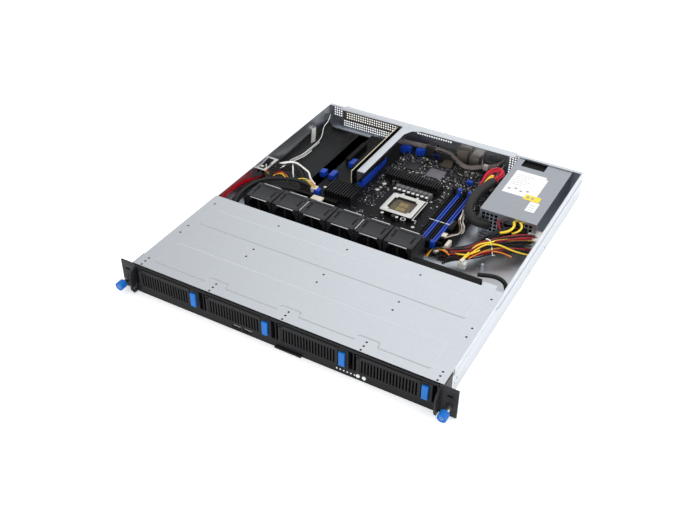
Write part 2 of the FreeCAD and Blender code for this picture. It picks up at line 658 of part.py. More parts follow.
def make_ear(side, name):
    """An ear: face plate with slot and ferrule, side flange, and the fin that serves as a handle."""
    ear = body(name, ("0", "front", "0"))

    def mirrored(x, z, width, height):
        return [(f"{side} * ({a})", b) for a, b in rect(x, z, width, height)]

    plate = mirrored("ear_inner", "ear_bottom", "panel_width / 2 - ear_inner", "ear_tall")
    pad(ear, "XZ", [plate], "ear_sheet")
    flange = mirrored("half_width", "ear_bottom", "divider", "ear_tall")
    pad(ear, "XZ", [flange], "ear_side_long", "ear_sheet")
    x, z = f"{side} * ear_hole_x", "rack_screw_z"
    pad(ear, "XZ", [(x, z, "ferrule_r")], "ferrule_thick", "0 - ferrule_thick")
    fin = [
        ("0", "fin_low"),
        ("0 - fin_reach + 4", "fin_low"),
        ("0 - fin_reach", "fin_low + 7"),
        ("0 - fin_reach", "fin_top - 12"),
        ("0 - fin_reach + 3", "fin_top - 4"),
        ("0", "fin_top"),
    ]
    loop = [("-2.6", "fin_low + 2.4"), ("2.6 - fin_reach", "fin_low + 8"), ("-2.6", "fin_low + 13")]
    middle = f"{side} * (half_width - fin_inset) - fin_thick / 2"
    pad(ear, "YZ", [fin, loop], "fin_thick", middle)
    slot_z = "rack_screw_z + rack_hole_pitch"
    width = "2 * (ear_slot_half - ear_slot_r)"
    slot = rect(f"{x} - ear_slot_half + ear_slot_r", f"{slot_z} - ear_slot_r", width, "2 * ear_slot_r")
    through = "4 * ear_sheet"
    pocket(ear, "XZ", [slot, (x, z, "sleeve_r + running_gap")], through, "0 - 2 * ear_sheet")
    for end in (-1, 1):
        round_end = (f"{x} + {end} * (ear_slot_half - ear_slot_r)", slot_z, "ear_slot_r")
        pocket(ear, "XZ", [round_end], through, "0 - 2 * ear_sheet")


def make_rack_screw(side, name):
    """A captive rack screw: a sleeve that slides through the ferrule, and the screw that turns in it."""
    at = (f"{side} * ear_hole_x", "front", "rack_screw_z")
    long = "screw_travel + 5"
    sleeve = body(f"thumb_sleeve_{name}", at)
    bore = ("0", "0", "sleeve_r - sleeve_wall")
    pad(sleeve, "XZ", [("0", "0", "sleeve_r"), bore], f"{long} + ear_sheet - running_gap", f"0 - ({long})")
    pad(sleeve, "XZ", [("0", "0", "sleeve_r + 1"), bore], "1", f"0 - ({long})")
    knob_back = f"(0 - ({long}) - seat_gap)"
    reach = f"ear_sheet - running_gap - {knob_back}"
    x, y, z = at
    shaft = rod((x, f"{y} + {knob_back}", z), "sleeve_r - sleeve_wall - running_gap", reach, "y")
    knob = raw_body("Knob", at)
    pad(knob, "XZ", [("0", "0", "knob_r")], "knob_long", f"{knob_back} - knob_long")
    flute = pocket(knob, "XZ", [("knob_r", "0", "flute_r")], "knob_long", f"{knob_back} - knob_long")
    around(knob, flute, "Y", "knob_flutes")
    face = f"{knob_back} - knob_long"
    rim = [("0", "0", "knob_r - 1.5"), ("0", "0", "knob_r - 2.1")]
    pocket(knob, "XZ", rim, "0.6", face)
    cross = [("-2", "-0.5"), ("-0.5", "-0.5"), ("-0.5", "-2"), ("0.5", "-2"), ("0.5", "-0.5"), ("2", "-0.5")]
    cross += [(f"0 - ({x})", f"0 - ({z})") for x, z in cross]
    pocket(knob, "XZ", [cross], "2", face)
    group(f"thumb_screw_{name}", [shaft, knob])


def around(item, feature, axis, count):
    """Repeats a feature round one of the body's axes."""
    pattern = item.newObject("PartDesign::PolarPattern", "Ring")
    pattern.Originals = [feature]
    pattern.Axis = (origin_of(item, f"{axis}_Axis"), [""])
    pattern.Angle = 360
    pattern.setExpression("Occurrences", ex(count))
    item.Tip = pattern
    return pattern


# ---------------------------------------------------------------- drive trays


def tray_at(k):
    return f"{bay_left(k)} + divider / 2 + tray_gap"


def make_tray(k):
    """A drive tray: a moulded front, the lugs and pin of its lever, and the carrier behind."""
    pieces = [tray_front(k)] + lever_hinge(k) + tray_carrier(k)
    group(f"tray_{k + 1}", pieces)


def tray_front(k):
    """The moulded frame behind a tray's grille, with the post that holds the latch button."""
    frame = raw_body("TrayFront", (tray_at(k), "front", "tray_z"))
    face = rect("tray_front_inset", "0", "tray_front_width", "tray_tall")
    opening = rect(
        "tray_front_inset + frame_left",
        "frame_bar",
        "post_left - tray_front_inset - frame_left - 1",
        "tray_tall - 2 * frame_bar",
    )
    pad(frame, "XZ", [face, opening], "tray_front_deep", "tray_front_y")
    post = rect("post_left", "0", "post_width", "tray_tall")
    pad(frame, "XZ", [post], "post_proud + tray_front_y", "0 - post_proud")
    play = "running_gap"
    hole = rect(
        f"post_left + button_inset - {play}",
        f"button_low - {play}",
        f"button_width + 2 * {play}",
        f"button_tall + 2 * {play}",
    )
    deep = "button_long - button_proud + button_travel + seat_gap"
    pocket(frame, "XZ", [hole], f"{deep} + 1", "0 - post_proud - 1")
    return frame


def lever_hinge(k):
    """Two lugs on a tray's front and the pin between them."""
    x, y = f"{tray_at(k)} + tray_front_inset", "front + pin_y - lever_thick / 2"
    size = ("hinge_inset + barrel_r", "tray_front_y - pin_y + lever_thick / 2", "hinge_ear_tall")
    lugs = [block((x, y, z), size) for z in ("tray_z", "tray_z + tray_tall - hinge_ear_tall")]
    foot = (f"{tray_at(k)} + pin_x", "front + pin_y", "tray_z + hinge_ear_tall")
    return lugs + [rod(foot, "pin_r", "tray_tall - 2 * hinge_ear_tall")]


def tray_carrier(k):
    """A tray's steel carrier, open underneath: side rails, ledges, cross strips and a low rear wall."""
    x, y, z = tray_at(k), "(front + tray_front_y + tray_front_deep)", "tray_z"
    long = "(tray_long - tray_front_y - tray_front_deep - tray_sheet)"
    inner = "(tray_width - 2 * tray_sheet)"
    wall_y = f"{y} + {long}"
    pieces = [block((x, wall_y, z), ("tray_width", "tray_sheet", "tray_rail_tall / 2"))]
    for side in (x, f"{x} + tray_width - tray_sheet"):
        pieces.append(block((side, y, z), ("tray_sheet", long, "tray_rail_tall")))
    for side in (f"{x} + tray_sheet", f"{x} + tray_width - tray_sheet - tray_ledge"):
        at = (side, f"{y} + tray_strip", z)
        pieces.append(block(at, ("tray_ledge", f"{long} - 2 * tray_strip", "tray_sheet")))
    for near in (y, f"{wall_y} - tray_strip"):
        pieces.append(block((f"{x} + tray_sheet", near, z), (inner, "tray_strip", "tray_sheet")))
    return pieces


def make_lever(k):
    """A tray's lever: the slotted grille that swings out about a pin at its left end."""
    lever = body(f"lever_{k + 1}", (f"{tray_at(k)} + pin_x", "front + pin_y", "tray_z"))
    half = "lever_thick / 2"
    plate = rect("lever_left", "0", "lever_long - lever_left", "tray_tall")
    pad(lever, "XZ", [plate], "lever_thick", f"0 - {half}")
    low = "(hinge_ear_tall + seat_gap)"
    neck = rect("0", low, "lever_left + 0.5", f"tray_tall - 2 * {low}")
    pad(lever, "XZ", [neck], "lever_thick", f"0 - {half}")
    pad(lever, "XY", [("0", "0", "barrel_r")], f"tray_tall - 2 * {low}", low)
    pad(lever, "XZ", [rect("lever_long - 6", "8", "4.5", "10")], "3", half)
    pocket(lever, "XY", [("0", "0", "pin_r + running_gap")], "tray_tall")
    slot = pocket(lever, "XZ", [rect("slot_start", "slot_low", "slot_wide", "slot_tall")], "6", "-3")
    repeat(lever, slot, "X", "slot_span", "slot_count")


def make_latch_button(k):
    x = f"{tray_at(k)} + post_left + button_inset"
    button = body(f"latch_button_{k + 1}", (x, "front - post_proud - button_proud", "tray_z + button_low"))
    front = pad(button, "XZ", [rect("0", "0", "button_width", "button_tall")], "button_long")
    round_edges(button, front, "0.9", lambda edge: edge.BoundBox.YMax < 0.01)


def make_front_keys():
    for name, x in (("power_button", "power_x"), ("locate_button", "locate_x")):
        key = body(name, (x, "front - bezel_proud - key_travel", "key_z"))
        pad(key, "XZ", [("0", "0", "key_r")], "bezel_thick + 2 * key_travel")
        pad(key, "XZ", [("0", "0", "key_r + 0.6")], "1", "bezel_thick + key_travel + seat_gap")


def make_front_board():
    """The board behind the lower strip: lights, switches and, on a second board, the USB sockets."""
    board_y = "(bezel_back + 5.5)"
    pieces = [block(("led_first_x - 5", f"front + {board_y}", "seat"), ("46", "board_thick", "bay_floor - 3.5"))]
    for i in range(s.led_count):
        at = (f"led_first_x + {i} * led_pitch", "front - bezel_proud", "led_z")
        pieces.append(rod(at, "led_r", f"{board_y} + bezel_proud", "y"))
    for x in ("power_x", "locate_x"):
        gap = "(bezel_back + 3.2)"
        pieces.append(block((f"{x} - 3", f"front + {gap}", "key_z - 3"), ("6", f"{board_y} - {gap}", "6")))
    carrier = block(("usb_x - 20", "front + bezel_back + 1", "seat"), ("40", "26", "usb_z - seat"))
    pieces.append(carrier)
    for i in range(2):
        x = f"usb_x + ({i} - 0.5) * usb_pitch - usb_width / 2"
        shell = block((x, "front - 0.5", "usb_z"), ("usb_width", "usb_deep", "usb_tall"))
        mouth = block((f"{x} + 0.5", "front - 1.5", "usb_z + 0.5"), ("usb_width - 1", "usb_deep - 3", "usb_tall - 1"))
        tongue = block((f"{x} + 1", "front + 0.5", "usb_z + 2.9"), ("usb_width - 2", "usb_deep - 2", "1.6"))
        pieces.append(fused([minus(shell, [mouth]), tongue]))
    group("front_panel_board", pieces)


def make_tag():
    tag = body("asset_tag", ("tag_x", "front", "floor_top + seat_gap"))
    half = "tag_width / 2"
    pad(tag, "XY", [rect(f"0 - {half}", "0 - bezel_proud - 3", "tag_width", "tag_long")], "tag_thick")
    lip = rect(f"0 - {half} - 2", "-0.6", "tag_width + 4", "tag_thick + 1.4")
    pad(tag, "XZ", [lip], "2.4", "0 - bezel_proud - 3")


# ---------------------------------------------------------------- backplane and fans


def make_backplane():
    plane = raw_body("BackplaneBoard", ("0", "front + backplane_y", "seat"))
    faces = [rect("0 - backplane_half", "0", "2 * backplane_half", "backplane_tall")]
    for k in range(4):
        faces.append(rect(f"{bay_left(k)} + 10", "23", "bay_pitch - 20", "11"))
        faces.append(rect(f"{bay_left(k)} + 62", "11", "32", "8"))
    pad(plane, "XZ", faces, "board_thick")
    pieces = [plane]
    for k in range(4):
        x = f"{tray_at(k)} + 14"
        at = (x, "front + backplane_y - drive_socket_deep", "bay_floor + 3")
        shell = block(at, ("drive_socket_width", "drive_socket_deep", "drive_socket_tall"))
        mouth_at = (f"{x} + 1.2", "front + backplane_y - drive_socket_deep - 1", "bay_floor + 4.4")
        mouth = block(mouth_at, ("drive_socket_width - 2.4", "drive_socket_deep", "drive_socket_tall - 2.8"))
        pieces.append(minus(shell, [mouth]))
        at = (f"{bay_left(k)} + 30", "front + backplane_y + board_thick", "5")
        pieces.append(block(at, ("18", "6", "7")))
    group("backplane", pieces)


def fan_x(k):
    return f"(fan_first_x + {k} * fan_pitch)"


def make_fan_cage():
    cage = body("fan_cage", ("0", "front + fan_front", "seat"))
    walls = [f"(fan_first_x + ({2 * k} - 0.5) * fan_pitch)" for k in range(4)]
    left = f"({walls[0]} - cage_wall / 2)"
    width = "(6 * fan_pitch + cage_wall)"
    deep = "(fan_deep + 2 * cage_lip + 2 * seat_gap)"
    start = "(0 - cage_lip - seat_gap)"
    loops = [rect(left, start, width, deep)]
    for x in walls[:3]:
        open_width = "2 * fan_pitch - cage_wall"
        loops.append(rect(f"{x} + cage_wall / 2", "0 - seat_gap", open_width, "fan_deep + 2 * seat_gap"))
    pad(cage, "XY", loops, "cage_rail_tall")
    sheets = [rect(f"{x} - cage_wall / 2", start, "cage_wall", deep) for x in walls]
    pad(cage, "XY", sheets, "cage_tall")


def make_fan_frame(k):
    frame = raw_body("FanFrame", (fan_x(k), "front + fan_front", "seat"))
    half = "fan_width / 2"
    middle = "fan_tall / 2"
    square = rect(f"0 - {half}", "0", "fan_width", "fan_tall")
    pad(frame, "XZ", [square, ("0", middle, "fan_bore_r")], "fan_deep")
    stator = "rotor_inset + rotor_long + seat_gap"
    across = "2 * fan_bore_r + 1"
    pad(frame, "XZ", [rect("0 - fan_bore_r - 0.5", f"{middle} - 1.6", across, "3.2")], "4", "fan_deep - 5")
    pad(frame, "XZ", [rect("-1.6", f"{middle} - fan_bore_r - 0.5", "3.2", across)], "4", "fan_deep - 5")
    pad(frame, "XZ", [("0", middle, "hub_r")], f"fan_deep - 1 - ({stator})", stator)
    pad(frame, "XZ", [rect("-1.3", f"{middle} - fan_bore_r - 0.5", "2.6", across)], "2")
    top = rect("-14.5", "4", "29", "fan_deep - 8")
    pocket(frame, "XY", [top], "2", "fan_tall - 0.8")
    notches = [rect(f"{x}", "fan_deep - 13", "1.6", "8") for x in (-18.6, 17)]
    pocket(frame, "XY", notches, "2", "fan_tall - 1")
    return frame


def make_rotor(name, at, hub, tip, long, inset):
    """A fan rotor: a hub and pitched blades lofted from root to tip."""
    rotor = body(name, at)
    pad(rotor, "XZ", [("0", "0", hub)], long, inset)
    middle = f"({inset} + {long} / 2)"

    def section(radius, half):
        """A blade's cross-section, its chord tilted against the fan's axis."""
        rise = f"blade_pitch * {half}"
        points = [(f"{middle} - {half}", f"0 - {rise}"), (f"{middle} - {half}", f"blade_thick - {rise}")]
        points += [(f"{middle} + {half}", f"{rise} + blade_thick"), (f"{middle} + {half}", rise)]
        return outline(rotor, "YZ", [points], radius)

    blade = rotor.newObject("PartDesign::AdditiveLoft", "Blade")
    blade.Profile = section(f"{hub} - 1.2", f"({long} / 2 - 4)")
    blade.Sections = [section(f"{tip} - 1.6", f"({long} / 2 - 1.5)")]
    blade.Ruled = True
    around(rotor, blade, "Y", "blade_count")


def make_fans():
    make_fan_cage()
    group("fan_frames", [make_fan_frame(k) for k in range(6)])
    for k in range(6):
        at = (fan_x(k), "front + fan_front", "duct_z")
        make_rotor(f"fan_rotor_{k + 1}", at, "hub_r", "(fan_bore_r - blade_gap)", "rotor_long", "rotor_inset")


# ---------------------------------------------------------------- motherboard

# Chokes, capacitors, chips and connectors of the board, in groups of
# (left x, front y from the front face, width, depth, height above the board).
CHOKES = [(-27.5 + 7.6 * i, 377, 6.8, 7.5, 8) for i in range(8)]
CHIPS = [(-47, 440, 22, 22, 1.6), (-8, 437, 26, 26, 1.4), (3, 474, 18, 18, 2), (-70, 420, 12, 12, 1.4)]
CONNECTORS = [
    (92, 446, 11, 50, 12),
    (89, 312, 7, 24, 9),
    (89, 276, 7, 28, 8),
    ("main_left + 11", 292, 42, 8, 6),
    ("main_left + 3", 306, 10, 8, 8),
    ("main_left + 5", 352, 9, 17, 8),
    ("main_left + 15", 398, 9, 17, 8),
    (-72, 482, 9, 11, 9),
    (-46, 486, 9, 11, 9),
    (-80.5, 351, 6, 88, "x16_tall"),
    ("main_left + 7", 404, 7.5, 58, 11),
]
CAPACITORS = [(-25 + 7.6 * i, 371, 2.9, 7.5) for i in range(8)] + [(-44, 372, 3.4, 9), (-46, 352, 3.4, 9)]


def make_motherboard():
    board = body("motherboard", ("main_left", "front + main_front", "main_z"))
    loops = [rect("0", "0", "main_width", "main_deep")]
    loops += [(x, y, "2") for x, y in STANDOFFS]
    pad(board, "XY", loops, "board_thick")


def on_board(x, y, width, depth, height):
    return block((x, f"front + {y}", "main_top"), (width, depth, height))


def make_board_parts():
    pieces = [on_board(*spec) for spec in CHOKES + CHIPS + CONNECTORS]
    pieces += [rod((x, f"front + {y}", "main_top"), r, tall) for x, y, r, tall in CAPACITORS]
    group("board_components", pieces)


def make_socket():
    socket = body("cpu_socket", ("socket_x", "front + socket_y", "main_top"))
    pad(socket, "XY", [rect("-24.5", "-25", "49", "47")], "1.6")
    half_wide, half_deep = "(package_width / 2 + 2.5)", "(package_deep / 2 + 3)"
    pad(socket, "XY", [rect(f"0 - {half_wide}", f"0 - {half_deep}", f"2 * {half_wide}", f"2 * {half_deep}")], "6.4")
    field = rect("1.5 - package_width / 2", "1.5 - package_deep / 2", "package_width - 3", "package_deep - 3")
    pocket(socket, "XY", [field], "3", "5")
    pocket(socket, "XY", [rect("-5", "-6.5", "10", "13")], "6", "3.4")
    foot = rect("pivot_y - lug_r", "0", "2 * lug_r", "pivot_z")
    tie = rect("-24.5", "20", "49", "pivot_y - 17")
    pad(socket, "XY", [tie], "1.2")
    for x in ("0 - lug_outer", "lug_outer - lug_wide"):
        pad(socket, "YZ", [foot], "lug_wide", x)
        pad(socket, "YZ", [("pivot_y", "pivot_z", "lug_r")], "lug_wide", x)
    pocket(socket, "YZ", [("pivot_y", "pivot_z", "wire_r + running_gap")], "3 * lug_outer", "-1.5 * lug_outer")
    pad(socket, "XY", [("0", "0 - frame_deep / 2 - 4.5", "3.4")], "8")
    pad(socket, "XY", [rect("-4", "-30", "8", "8")], "1.6")


def make_load_plate():
    pivot = ("socket_x", "front + socket_y + pivot_y", "main_top + pivot_z")
    plate = body("load_plate", pivot)
    low = "(frame_z - main_top - pivot_z)"
    near = "(0 - pivot_y - frame_deep / 2)"
    frame = rect("0 - frame_width / 2", near, "frame_width", "frame_deep")
    mid = "(0 - pivot_y)"
    wide, deep = "package_width / 2", "package_deep / 2"
    window = [
        (f"0 - {wide}", f"{mid} - {deep} + 4"),
        (f"4 - {wide}", f"{mid} - {deep} + 4"),
        (f"4 - {wide}", f"{mid} - {deep}"),
        (f"{wide} - 4", f"{mid} - {deep}"),
        (f"{wide} - 4", f"{mid} - {deep} + 4"),
        (wide, f"{mid} - {deep} + 4"),
        (wide, f"{mid} + {deep} - 4"),
        (f"{wide} - 4", f"{mid} + {deep} - 4"),
        (f"{wide} - 4", f"{mid} + {deep}"),
        (f"4 - {wide}", f"{mid} + {deep}"),
        (f"4 - {wide}", f"{mid} + {deep} - 4"),
        (f"0 - {wide}", f"{mid} + {deep} - 4"),
    ]
    sheet_part = pad(plate, "XY", [frame, window], "frame_thick", low)
    z = s.frame_z - s.main_z - s.board_thick - s.pivot_z
    outer = upright(z, z + s.frame_thick)

    def corner(edge):
        return outer(edge) and abs(edge.BoundBox.XMin) > s.frame_width / 2 - 0.1

    round_edges(plate, sheet_part, "3", corner)
    rear = f"({mid} + frame_deep / 2)"
    hinge = [(f"{rear} - 1", low), (f"{rear} - 1", f"{low} + frame_thick"), ("1.8", f"{low} + frame_thick")]
    hinge += [("2.4", "0"), ("1.6", "-1.8"), ("-1.6", "-1.8"), ("-2.2", "0")]
    for x in (-14, 10):
        pad(plate, "YZ", [hinge, ("0", "0", "wire_r + running_gap")], "4", x)
    pocket(plate, "YZ", [("0", "0", "wire_r + running_gap")], "60", "-30")


def make_load_lever():
    x, y, z = "socket_x", "(front + socket_y + pivot_y)", "(main_top + pivot_z)"
    right = "frame_width / 2 + 1.9"
    axle = rod((f"{x} - 23", y, z), "wire_r", f"{right} + 23", "x")
    arm = rod((f"{x} + {right}", f"{y} - 52", z), "wire_r", "52", "y")
    hook = rod((f"{x} + {right}", f"{y} - 52", z), "wire_r", "7", "x")
    elbows = []
    for elbow_y in (y, f"{y} - 52"):
        ball = doc.addObject("Part::Sphere", "Elbow")
        ball.setExpression("Radius", ex("wire_r"))
        elbows.append(put_at(ball, (f"{x} + {right}", elbow_y, z)))
    node(fused([axle, arm, hook] + elbows, "load_lever"), "load_lever")


def slot_x(k):
    return f"(dimm_first_x + {k} * dimm_pitch)"


def make_memory_slots():
    """Memory slots with a fixed front end and, at the rear, cheeks that carry the latch."""
    slots = []
    for k in range(s.dimm_count):
        slot = raw_body("MemorySlot", (slot_x(k), "front + dimm_front", "main_top"))
        half = "dimm_wide / 2"
        pad(slot, "XY", [rect(f"0 - {half}", "0", "dimm_wide", "dimm_long")], "dimm_tall")
        end = rect(f"0 - {half}", "0", "dimm_wide", "6")
        pad(slot, "XY", [end], "dimm_tall + 3")
        cheeks = rect(f"0 - {half}", "dimm_long - 8", "dimm_wide", "8")
        pad(slot, "XY", [cheeks], "dimm_tall + 1")
        pocket(slot, "XY", [rect("-0.9", "3", "1.8", "dimm_long - 14")], "12", "4")
        pocket(slot, "XY", [rect("-1.7", "dimm_long - 8", "3.4", "9")], "12", "1.2")
        pocket(slot, "YZ", [("dimm_long - 4", "4.2", "wire_r + running_gap")], "dimm_wide + 2", f"0 - {half} - 1")
        slots.append(slot)
    group("dimm_slots", slots)
    for k in range(s.dimm_count):
        at = (slot_x(k), "front + dimm_front + dimm_long - 4", "main_top + 4.2")
        latch = body(f"dimm_latch_{k + 1}", at)
        top = "(latch_tall - 4.2)"
        side = [("-2", "-1"), ("0", "-2.2"), ("2", "-1"), ("2.6", f"{top} - 4"), ("latch_deep - 1", f"{top} - 2")]
        side += [("latch_deep - 1", top), ("-1.5", top), ("-2", f"{top} - 3")]
        pad(latch, "YZ", [side], "2.8", "-1.4")
        pad(latch, "YZ", [("0", "0", "wire_r")], "dimm_wide - 0.4", "0.2 - dimm_wide / 2")
        cap = rect("-1.5", f"{top} - 3.2", "latch_deep + 0.5", "3.2")
        pad(latch, "YZ", [cap], "dimm_wide - 0.6", "0.3 - dimm_wide / 2")


def make_heatsink(x, y, width, deep, tall, fins, count):
    sink = raw_body("Heatsink", (f"{x} - ({width}) / 2", f"front + {y}", "main_top"))
    pad(sink, "XY", [rect("0", "0", width, deep)], "4")
    fin = pad(sink, "XY", [rect("0", "0", fins, deep)], tall)
    repeat(sink, fin, "X", f"{width} - {fins}", count)
    return sink


def make_heatsinks():
    vrm = make_heatsink("vrm_x", "vrm_y", "vrm_width", "vrm_deep", "vrm_tall", "1.6", "fin_count")
    hub = make_heatsink(
        "hub_sink_x", "hub_sink_y", "hub_sink_width", "hub_sink_deep", "hub_sink_tall", "1.6", "fin_count / 2"
    )
    group("heatsinks", [vrm, hub])


def make_ports():
    pieces = []
    deep = 20
    for x, width, tall in PORTS:
        left = f"{x} - {width} / 2 + running_gap"
        at = (left, f"back - {deep}", "main_top")
        size = (f"{width} - 2 * running_gap", f"{deep}", f"{tall} - running_gap")
        shell = block(at, size)
        mouth = block((f"{x} - {width} / 2 + 2.5", "back - 12", "main_top + 3"), (f"{width} - 5", "14", f"{tall} - 6"))
        pieces.append(minus(shell, [mouth]))
    group("rear_ports", pieces)


# ---------------------------------------------------------------- riser and rear


def make_riser():
    board_y = "front + riser_front"
    board = block(
        ("riser_x - board_thick / 2", board_y, "riser_bottom"),
        ("board_thick", "riser_long", "riser_top - riser_bottom"),
    )
    card_slot = block(("riser_x - board_thick / 2 - 11", f"{board_y} + 24", "24"), ("11", "89", "7.4"))
    groove = block(("riser_x - board_thick / 2 - 12", f"{board_y} + 27", "26.8"), ("6", "83", "1.8"))
    foot_x = "riser_x + board_thick / 2"
    foot_at = (foot_x, f"{board_y} + 7", "main_top + x16_tall + seat_gap")
    foot = block(foot_at, ("strip_left - riser_x - board_thick / 2 + 3", "80", "foot_tall"))
    group("riser_board", [board, minus(card_slot, [groove]), foot])


def make_riser_bracket():
    bracket = body("riser_bracket", ("0", "front", "0"))
    under = "(body_tall - chassis_sheet)"
    back = "(body_depth + band_over)"
    strip_right = "(strip_left + strip_width)"
    corner = "strip_corner"
    plan = [
        ("strip_left", "strip_front"),
        (strip_right, "strip_front"),
        (strip_right, f"band_front - {corner}"),
        (f"{strip_right} + {corner} * 0.3", f"band_front - {corner} * 0.3"),
        (f"{strip_right} + {corner}", "band_front"),
        ("band_right", "band_front"),
        ("band_right", back),
        ("band_left", back),
        ("band_left", "band_front"),
        ("strip_left", "band_front"),
    ]
    pad(bracket, "XY", [plan], "chassis_sheet", under)
    web_z = "(main_top + x16_tall + foot_tall + 2 * seat_gap)"
    web = rect("strip_left", web_z, "chassis_sheet", f"{under} - {web_z}")
    pad(bracket, "XZ", [web], "band_front - strip_front", "strip_front")
    lip = rect("band_left", f"{under} - 4", "band_right - band_left", "4 + chassis_sheet")
    pad(bracket, "XZ", [lip], "band_over - seat_gap", "body_depth + seat_gap")
    heads = [(x, "38.2", "4.4") for x in (-197 + 8, -10)]
    pad(bracket, "XZ", heads, "6", "body_depth + seat_gap")


def make_slot_cover():
    """Blanking plates over the card window, with rows of vents."""
    cover = body("slot_cover", ("0", "back - 2 * chassis_sheet - 0.3", "0"))
    face = rect("window_left - 2", "window_z - 1.5", "window_width + 4", "window_tall + 3")
    pad(cover, "XZ", [face], "chassis_sheet")
    column = [rect("window_left + 4", f"window_z + 2 + {i} * vent_pitch", "vent_hole", "vent_hole") for i in range(3)]
    holes = pocket(cover, "XZ", column, "3 * chassis_sheet", "0 - chassis_sheet")
    repeat(cover, holes, "X", "window_width - 8 - vent_hole", "22")


def make_insulator():
    """The thin black sheet that lines the card's bay."""
    width = "main_left - liner_gap - liner_left"
    floor = block(("liner_left", "back - liner_rear - liner_long", "seat"), (width, "liner_long", "0.8"))
    node(floor, "insulator_sheet")


# ---------------------------------------------------------------- power supply


def make_psu():
    supply = body("psu_case", ("psu_left", "front + psu_front", "seat"))
    long = "(body_depth - chassis_sheet - psu_front - seat_gap)"
    pad(supply, "XZ", [rect("0", "0", "psu_width", "psu_tall")], long)
    pocket(supply, "XY", [rect("10", "138", "37", "20")], "4", "psu_tall - 3")
    for x in (4, 56):
        column = [rect(f"{x}", f"{6 + 6.2 * i}", "4.6", "4.6") for i in range(5)]
        holes = pocket(supply, "XZ", column, "5", "-1")
        repeat(supply, holes, "X", "3 * 6.2", "4")
    pocket(supply, "XZ", [rect("29", "6", "24", "20")], "8", "-1")
    fan = ("psu_fan_x - psu_left", "psu_fan_z - seat", "psu_fan_r")
    pocket(supply, "XZ", [fan], "30", f"{long} - 24")
    pad(supply, "XZ", [(fan[0], fan[1], "2.5")], "6 - seat_gap", f"{long} - 24")
    inlet = rect("inlet_x - psu_left - inlet_width / 2", "12", "inlet_width", "inlet_tall")
    pocket(supply, "XZ", [inlet], "20", f"{long} - 16")
    blade_tips = [rect(f"inlet_x - psu_left + {x}", f"{z}", "2", "4") for x, z in ((-7, 16), (5, 16), (-1, 21))]
    pad(supply, "XZ", blade_tips, "12", f"{long} - 16")
    at = ("psu_fan_x", f"front + psu_front + {long}", "psu_fan_z")
    make_rotor("psu_fan_rotor", at, "8", "(psu_fan_r - blade_gap)", "14", "-18")


# ---------------------------------------------------------------- lid switch


def make_lid_switch():
    wall = "(0 - half_width + wall_step + chassis_sheet + seat_gap)"
    bracket = raw_body("SwitchBracket", (wall, "front + switch_y", "0"))
    profile = [
        ("0", "rear_step_z"),
        ("chassis_sheet", "rear_step_z"),
        ("chassis_sheet", "switch_top - chassis_sheet"),
        ("switch_reach - chassis_sheet", "switch_top - chassis_sheet"),
        ("switch_reach - chassis_sheet", "22"),
        ("switch_reach", "22"),
        ("switch_reach", "switch_top"),
        ("0", "switch_top"),
    ]
    pad(bracket, "XZ", [profile], "switch_long")
    switch = block((f"{wall} + 3", "front + switch_y + 9", "switch_top - 12"), ("8", "20", "12 - chassis_sheet"))
    lever_x, lever_y, pin_z = f"{wall} + 4.5", "front + switch_y + 11.5", "switch_top + 2"
    cheeks = []
    for x in (f"{lever_x} - 1.2", f"{lever_x} + 5.2"):
        cheeks.append(block((x, f"{lever_y} - 1.5", "switch_top"), ("1", "3", "3.5")))
    pin = rod((f"{lever_x} - 1", lever_y, pin_z), "0.6", "7", "x")
    group("lid_switch", [bracket, switch, fused(cheeks + [pin])])
    lever = body("lid_switch_lever", (lever_x, lever_y, pin_z))
    side = [("0.4", "-1"), ("1.4", "0"), ("16", "2.2"), ("16", "3.2"), ("0", "1.4"), ("-1.2", "0.4"), ("-0.8", "-1")]
    pad(lever, "YZ", [side, ("0", "0", "0.6 + running_gap / 2")], "5")


# ---------------------------------------------------------------- cables


def tube(points, radius):
    """A round cable: straight runs joined by tangent arcs."""
    corners = [Vector(*p) for p in points]
    edges = []
    here = corners[0]
    for before, corner, after in zip(corners, corners[1:], corners[2:]):
        come, go = corner - before, after - corner
        reach = 0.45 * min(come.Length, go.Length)
        turn = come.getAngle(go)
        start = corner - come.normalize() * reach
        end = corner + go.normalize() * reach
        bend = reach / math.tan(turn / 2)
        towards = ((start - corner) + (end - corner)).normalize()
        centre = corner + towards * math.hypot(bend, reach)
        edges.append(Part.LineSegment(here, start).toShape())
        edges.append(Part.Arc(start, centre - towards * bend, end).toShape())
        print(f"  bend radius {bend:.1f}")
        here = end
    edges.append(Part.LineSegment(here, corners[-1]).toShape())
    path = Part.Wire(edges)
    first = corners[1] - corners[0]
    ring = Part.Wire(Part.Circle(corners[0], first, radius).toShape())
    solid = path.makePipeShell([ring], True, False)
    print(f"  length {path.Length:.0f}, volume ratio {solid.Volume / (math.pi * radius**2 * path.Length):.4f}")
    return solid


def make_cable(name, routes):
    """Cables of one kind, as separate tubes; a route is its radius and its points."""
    front = -s.body_depth / 2
    tubes = []
    for radius, points in routes:
        tubes.append(tube([(x, y + front, z) for x, y, z in points], radius))
    cable = doc.addObject("Part::Feature", name)
    cable.Shape = tubes[0] if len(tubes) == 1 else Part.makeCompound(tubes)
    node(cable, name)


